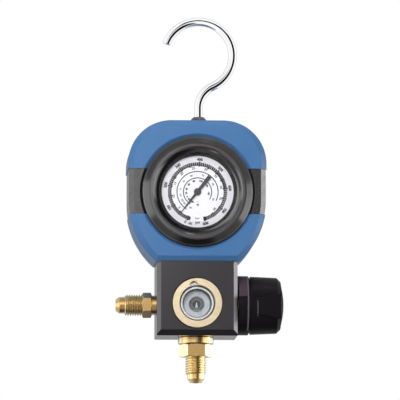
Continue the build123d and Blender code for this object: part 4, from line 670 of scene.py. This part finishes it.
def sight_marks():
    """Dark floor of the sight glass's well as painted shade, with its light ring, a white triangle as a
    painted highlight, and a light bar.
    """
    middle = (SIGHT_LOW.y + SIGHT_HIGH.y) / 2
    floor_y = middle + WELL_FLOOR_TOP
    well = bmesh.new()
    add_print(well, sight_loop(WELL_R, 0), middle + WELL_FLOOR_BACK, WELL_FLOOR_BACK - WELL_FLOOR_TOP)
    ring = bmesh.new()
    sight_ring(ring, WELL_R, WELL_RING_WIDTH, middle + WELL_RING_TOP, floor_y)
    triangle = bmesh.new()
    sight_sign(triangle, TRIANGLE_MM, floor_y)
    bar = bmesh.new()
    sight_sign(bar, BAR_MM, middle)
    marks = (("sight_well_floor", well, "well_painted_shade"), ("sight_well_ring", ring, "ring_light"),
             ("sight_triangle", triangle, "glint_painted_white"), ("sight_bar", bar, "ring_light"))
    for name, work, key in marks:
        add_piece(name, finish_mesh(work, name), key)


# ---------------------------------------------------------------- flare fittings
def hexagon_radius(angle, flats):
    """Distance from the axis to a hexagon's face at an angle, with a face at angle 0."""
    sector = math.radians(60)
    offset = (angle + sector / 2) % sector - sector / 2
    return flats / 2 / math.cos(offset)


def thread_radius(distance, angle):
    """Radius of a right-handed thread with rounded crests and roots."""
    phase = (distance / THREAD_PITCH - angle / math.tau) % 1.0
    slope = min(abs(phase - 0.5) * 2, 1.0)
    wave = min(max((slope - CREST_SHARE) / FLANK_SHARE, 0.0), 1.0)
    return THREAD_CREST_R - THREAD_DEPTH * wave * wave * (3 - 2 * wave)


def round_rows(stations):
    return [(distance, (lambda angle, r=radius: r)) for distance, radius in stations]


def hexagon_rows(start, end, flats, foot_r):
    """Hexagon with turned corners, between two smaller round lengths."""
    flat_r = flats / 2
    corner_rise = flats / math.sqrt(3) - flat_r
    turned = [(start + HEX_LEAD * share, flat_r + corner_rise * share) for share in HEX_LEAD_STEPS]
    turned += [(end - HEX_LEAD * share, flat_r + corner_rise * share)
               for share in reversed(HEX_LEAD_STEPS)]
    rows = [(distance, (lambda angle, top=limit: min(hexagon_radius(angle, flats), top)))
            for distance, limit in turned]
    return round_rows([(start, foot_r)]) + rows + round_rows([(end, foot_r)])


def thread_rows(start, end, nose_r):
    """Helical thread, chamfered at its free end, and the step down to the nose."""
    steps = int((end - start) / THREAD_PITCH * THREAD_ROWS)
    rows = []
    for i in range(steps + 1):
        distance = start + (end - start) * i / steps
        limit = THREAD_CREST_R - max(0.0, distance - (end - THREAD_CHAMFER)) * CHAMFER_SLOPE
        rows.append((distance, (lambda angle, d=distance, top=limit: min(top, thread_radius(d, angle)))))
    return rows + round_rows([(end, nose_r)])


def add_flare(rows, hexagon, thread_end, nose_end, nose_r, length):
    """Adds hexagon, thread, nose and cone to the rows, and gives the thread's first and last row."""
    rows += hexagon_rows(*hexagon)
    first = len(rows)
    rows += thread_rows(hexagon[1] + THREAD_GAP, thread_end, nose_r)
    last = len(rows) - 1
    rows += round_rows([(nose_end - NOSE_EDGE, nose_r), (nose_end, nose_r - NOSE_BREAK),
                        (length, CONE_END_R)])
    return first, last


def fitting_mesh(name, rows, place, bore_depth, thread_span):
    """Turned body from (distance, radius function) rows, closed at its root and bored from its tip."""
    work = bmesh.new()
    tip = rows[-1][0]
    bore_end = tip - bore_depth
    bore = [(tip, BORE_R + BORE_CHAMFER), (tip - BORE_RIM, BORE_R), (bore_end, BORE_R),
            (bore_end - BORE_R * DRILL_POINT, DRILL_POINT_R)]
    angles = [math.tau * i / ROUND_STEPS for i in range(ROUND_STEPS)]
    loops = [[work.verts.new(place(distance, radius(angle), angle)) for angle in angles]
             for distance, radius in rows + round_rows(bore)]
    for a, b in zip(loops, loops[1:]):
        for i in range(ROUND_STEPS):
            j = (i + 1) % ROUND_STEPS
            work.faces.new((a[i], a[j], b[j], b[i]))
    work.faces.new(list(reversed(loops[0])))
    work.faces.new(loops[-1])
    mesh = finish_mesh(work, name)
    for polygon in mesh.polygons:
        polygon.use_smooth = True
    mesh.set_sharp_from_angle(angle=math.radians(SHARP_ANGLE))
    first, last = (row * ROUND_STEPS for row in thread_span)
    for edge in mesh.edges:
        if min(edge.vertices) >= first and max(edge.vertices) < last:
            edge.use_edge_sharp = False
    return mesh


def left_fitting():
    """Service port: neck, hexagon, threaded flare with its nose and cone, along -X."""
    face = BLOCK_LOW.x
    hex_start, hex_end, flats = 2.15 * MM, 7.05 * MM, 11.4 * MM
    thread_end, nose_end = 16.05 * MM, 19.15 * MM
    neck_r, nose_r = 5.1 * MM, 4.3 * MM
    rows = round_rows([(-ROOT_DEPTH, ROOT_R), (0, ROOT_R), (STEP_GAP, neck_r), (hex_start, neck_r)])
    hexagon = (hex_start, hex_end, flats, neck_r)
    thread_span = add_flare(rows, hexagon, thread_end, nose_end, nose_r, face - LEFT_LOW.x)

    def place(distance, radius, angle):
        return (face - distance, -radius * math.cos(angle), PORT_Z + radius * math.sin(angle))
    mesh = fitting_mesh("left_fitting", rows, place, LEFT_BORE_DEPTH, thread_span)
    piece = add_piece("left_flare_fitting", mesh, "fitting_brass_left")
    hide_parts("left_port_fitting")


def bottom_fitting():
    """System port: flange, hexagon, threaded flare with its nose and cone, along -Z."""
    face = BLOCK_LOW.z
    flange_end, hex_end, flats = 3.6 * MM, 10.1 * MM, 15.3 * MM
    thread_end, nose_end = 19.1 * MM, 21.8 * MM
    flange_r, foot_r, nose_r = 9.25 * MM, 5.4 * MM, 4.35 * MM
    root_break, root_chamfer = 0.25 * MM, 0.3 * MM
    edge_break, edge_gap = 0.4 * MM, 0.1 * MM
    rows = round_rows([(-ROOT_DEPTH, ROOT_R), (0, ROOT_R), (STEP_GAP, flange_r - root_break),
                       (root_chamfer, flange_r), (flange_end - edge_gap - edge_break, flange_r),
                       (flange_end - edge_gap, flange_r - edge_break)])
    hexagon = (flange_end, hex_end, flats, foot_r)
    thread_span = add_flare(rows, hexagon, thread_end, nose_end, nose_r, face - BOTTOM_LOW.z)

    def place(distance, radius, angle):
        return (BLOCK_X - radius * math.sin(angle), -radius * math.cos(angle), face - distance)
    mesh = fitting_mesh("bottom_fitting", rows, place, BOTTOM_BORE_DEPTH, thread_span)
    piece = add_piece("bottom_flare_fitting", mesh, "fitting_brass_bottom")
    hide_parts("bottom_port_fitting")


# ---------------------------------------------------------------- surroundings
def floor():
    """Pale floor that keeps the shadow and glows a little for the camera."""
    bpy.ops.mesh.primitive_plane_add(size=FLOOR_SIZE, location=(0, 0, FLOOR_Z))
    plane = bpy.context.object
    plane.name = "floor"
    plane.visible_glossy = False
    pale = surface("floor_pale", linear(240, 240, 240), 0.8, 0.01, 0.02, 3)
    tree = pale.node_tree
    path = tree.nodes.new("ShaderNodeLightPath")
    lift = NodeMath(tree)("MULTIPLY", path.outputs["Is Camera Ray"], FLOOR_LIFT)
    tree.links.new(lift, tree.nodes["Principled BSDF"].inputs["Emission Strength"])
    plane.data.materials.append(pale)


def around(azimuth, elevation, distance):
    """Point at a direction and distance from the object, with azimuth 0 in front and 90 on the right."""
    a, e = math.radians(azimuth), math.radians(elevation)
    return (distance * math.sin(a) * math.cos(e), -distance * math.cos(a) * math.cos(e),
            AIM.z + distance * math.sin(e))


def lamp(name, size, energy, place, aim=LIGHTS_AIM):
    """Rectangular lamp of some size in metres and power in watts, aimed at a point."""
    data = bpy.data.lights.new(name, "AREA")
    data.shape = "RECTANGLE"
    data.size, data.size_y = size
    data.energy = energy
    holder = bpy.data.objects.new(name, data)
    bpy.context.scene.collection.objects.link(holder)
    holder.location = place
    holder.visible_camera = False
    holder.rotation_euler = (Vector(aim) - Vector(place)).to_track_quat("-Z", "Y").to_euler()
    return holder


def camera():
    """Long lens, a little below the object and to its left, as in the photo."""
    azimuth, elevation = math.radians(VIEW_AZIMUTH), math.radians(VIEW_ELEVATION)
    back = Vector((math.sin(azimuth) * math.cos(elevation), -math.cos(azimuth) * math.cos(elevation),
                   math.sin(elevation)))
    data = bpy.data.cameras.new("camera")
    data.sensor_fit = "HORIZONTAL"
    data.angle = 2 * math.atan(FRAME_WIDTH / 2 / CAMERA_DISTANCE)
    data.clip_end = CLIP_END
    holder = bpy.data.objects.new("camera", data)
    bpy.context.scene.collection.objects.link(holder)
    holder.location = AIM + back * CAMERA_DISTANCE
    holder.rotation_euler = back.to_track_quat("Z", "Y").to_euler()
    bpy.context.scene.camera = holder


DARK_CARDS = (
    # azimuth and elevation of the middle, half width and half height in degrees, softness, darkness
    (35, -8, 26, 44, 4, 0.995),
    (14, 29, 30, 15, 3, 0.99),
    (0, -90, 200, 30, 5, 0.95),
    (-40, 6, 5, 40, 3, 0.3),
    (160, 0, 28, 60, 6, 0.4),
    (-160, 0, 28, 60, 6, 0.4),
)


def background(tree, color=WHITE, strength=1.0):
    """Background shader, plain white if nothing else is asked for."""
    node = tree.nodes.new("ShaderNodeBackground")
    node.inputs["Color"].default_value = color
    node.inputs["Strength"].default_value = strength
    return node


def card_level(sums, direction):
    """Brightness of the studio in reflections: 1, less where a dark card stands."""
    azimuth = sums("MULTIPLY", sums("ARCTAN2", direction["X"], sums("MULTIPLY", direction["Y"], -1.0)),
                   180 / math.pi)
    elevation = sums("MULTIPLY", sums("ARCSINE", direction["Z"]), 180 / math.pi)
    level = None
    for middle, height, half_width, half_height, softness, darkness in DARK_CARDS:
        beside = sums.outside(azimuth, middle, half_width, softness)
        above = sums.outside(elevation, height, half_height, softness)
        open_share = sums("MAXIMUM", beside, above)
        shown = sums("SUBTRACT", 1.0, sums("MULTIPLY", sums("SUBTRACT", 1.0, open_share), darkness))
        level = shown if level is None else sums("MULTIPLY", level, shown)
    return level


def world():
    """White to the eye and in glass, an even grey on matt surfaces, dark studio cards in reflections."""
    sky = bpy.data.worlds.new("studio")
    bpy.context.scene.world = sky
    sky.use_nodes = True
    tree = sky.node_tree
    sums = NodeMath(tree)
    coords = tree.nodes.new("ShaderNodeTexCoord")
    split = tree.nodes.new("ShaderNodeSeparateXYZ")
    tree.links.new(coords.outputs["Generated"], split.inputs[0])
    glossy = background(tree)
    tree.links.new(card_level(sums, split.outputs), glossy.inputs["Strength"])
    plain = background(tree, AMBIENT_COLOR, AMBIENT)
    white = background(tree)
    path = tree.nodes.new("ShaderNodeLightPath")
    seen = sums("MAXIMUM", path.outputs["Is Camera Ray"], path.outputs["Is Transmission Ray"])
    first = tree.nodes.new("ShaderNodeMixShader")
    tree.links.new(path.outputs["Is Glossy Ray"], first.inputs["Fac"])
    tree.links.new(plain.outputs[0], first.inputs[1])
    tree.links.new(glossy.outputs[0], first.inputs[2])
    second = tree.nodes.new("ShaderNodeMixShader")
    tree.links.new(seen, second.inputs["Fac"])
    tree.links.new(first.outputs[0], second.inputs[1])
    tree.links.new(white.outputs[0], second.inputs[2])
    tree.links.new(second.outputs[0], tree.nodes["World Output"].inputs["Surface"])


def lights():
    """Cards that show in reflections but not in the hook, and fills that only light matt surfaces."""
    cards = [
        lamp("near_left", (0.16, 0.2), 0.48, (-0.093, -0.32, 0.0), (-0.06, 0, -0.06)),
        lamp("key_left", (0.5, 0.9), 4.5, around(-46, 25, 1.3)),
        lamp("softbox_right", (0.75, 0.9), 7.0, around(62, -6, 1.2)),
        lamp("side_right", (0.4, 0.9), 8.0, around(92, -5, 1.2)),
        lamp("side_left", (0.75, 0.9), 6.0, around(-75, -3, 1.2)),
        lamp("streak_high", (0.14, 0.14), 0.6, around(37, 70, 1.0)),
        lamp("streak_low", (0.14, 0.14), 0.45, around(-22, -42, 1.0)),
        lamp("rim_right", (0.4, 0.9), 1.5, around(122, -5, 1.2)),
        lamp("rim_left", (0.4, 0.9), 1.5, around(-118, -5, 1.2)),
    ]
    chrome = bpy.data.collections.new("chrome_out_of_cards")
    chrome.objects.link(NODES["hook"])
    chrome.collection_objects[0].light_linking.link_state = "EXCLUDE"
    for card in cards:
        card.visible_diffuse = card.name == "near_left"
        card.light_linking.receiver_collection = chrome
    fills = [
        lamp("fill_front", (0.5, 0.5), 6.0, around(-8, 14, 1.6)),
        lamp("fill_top", (0.9, 0.6), 4.0, around(10, 82, 1.2)),
    ]
    for fill in fills:
        fill.visible_glossy = False


# ---------------------------------------------------------------- build
dress_cad_nodes()
print_dial()
sight_marks()
left_fitting()
bottom_fitting()
floor()
lights()
world()
camera()
bpy.context.scene.view_settings.view_transform = "Standard"
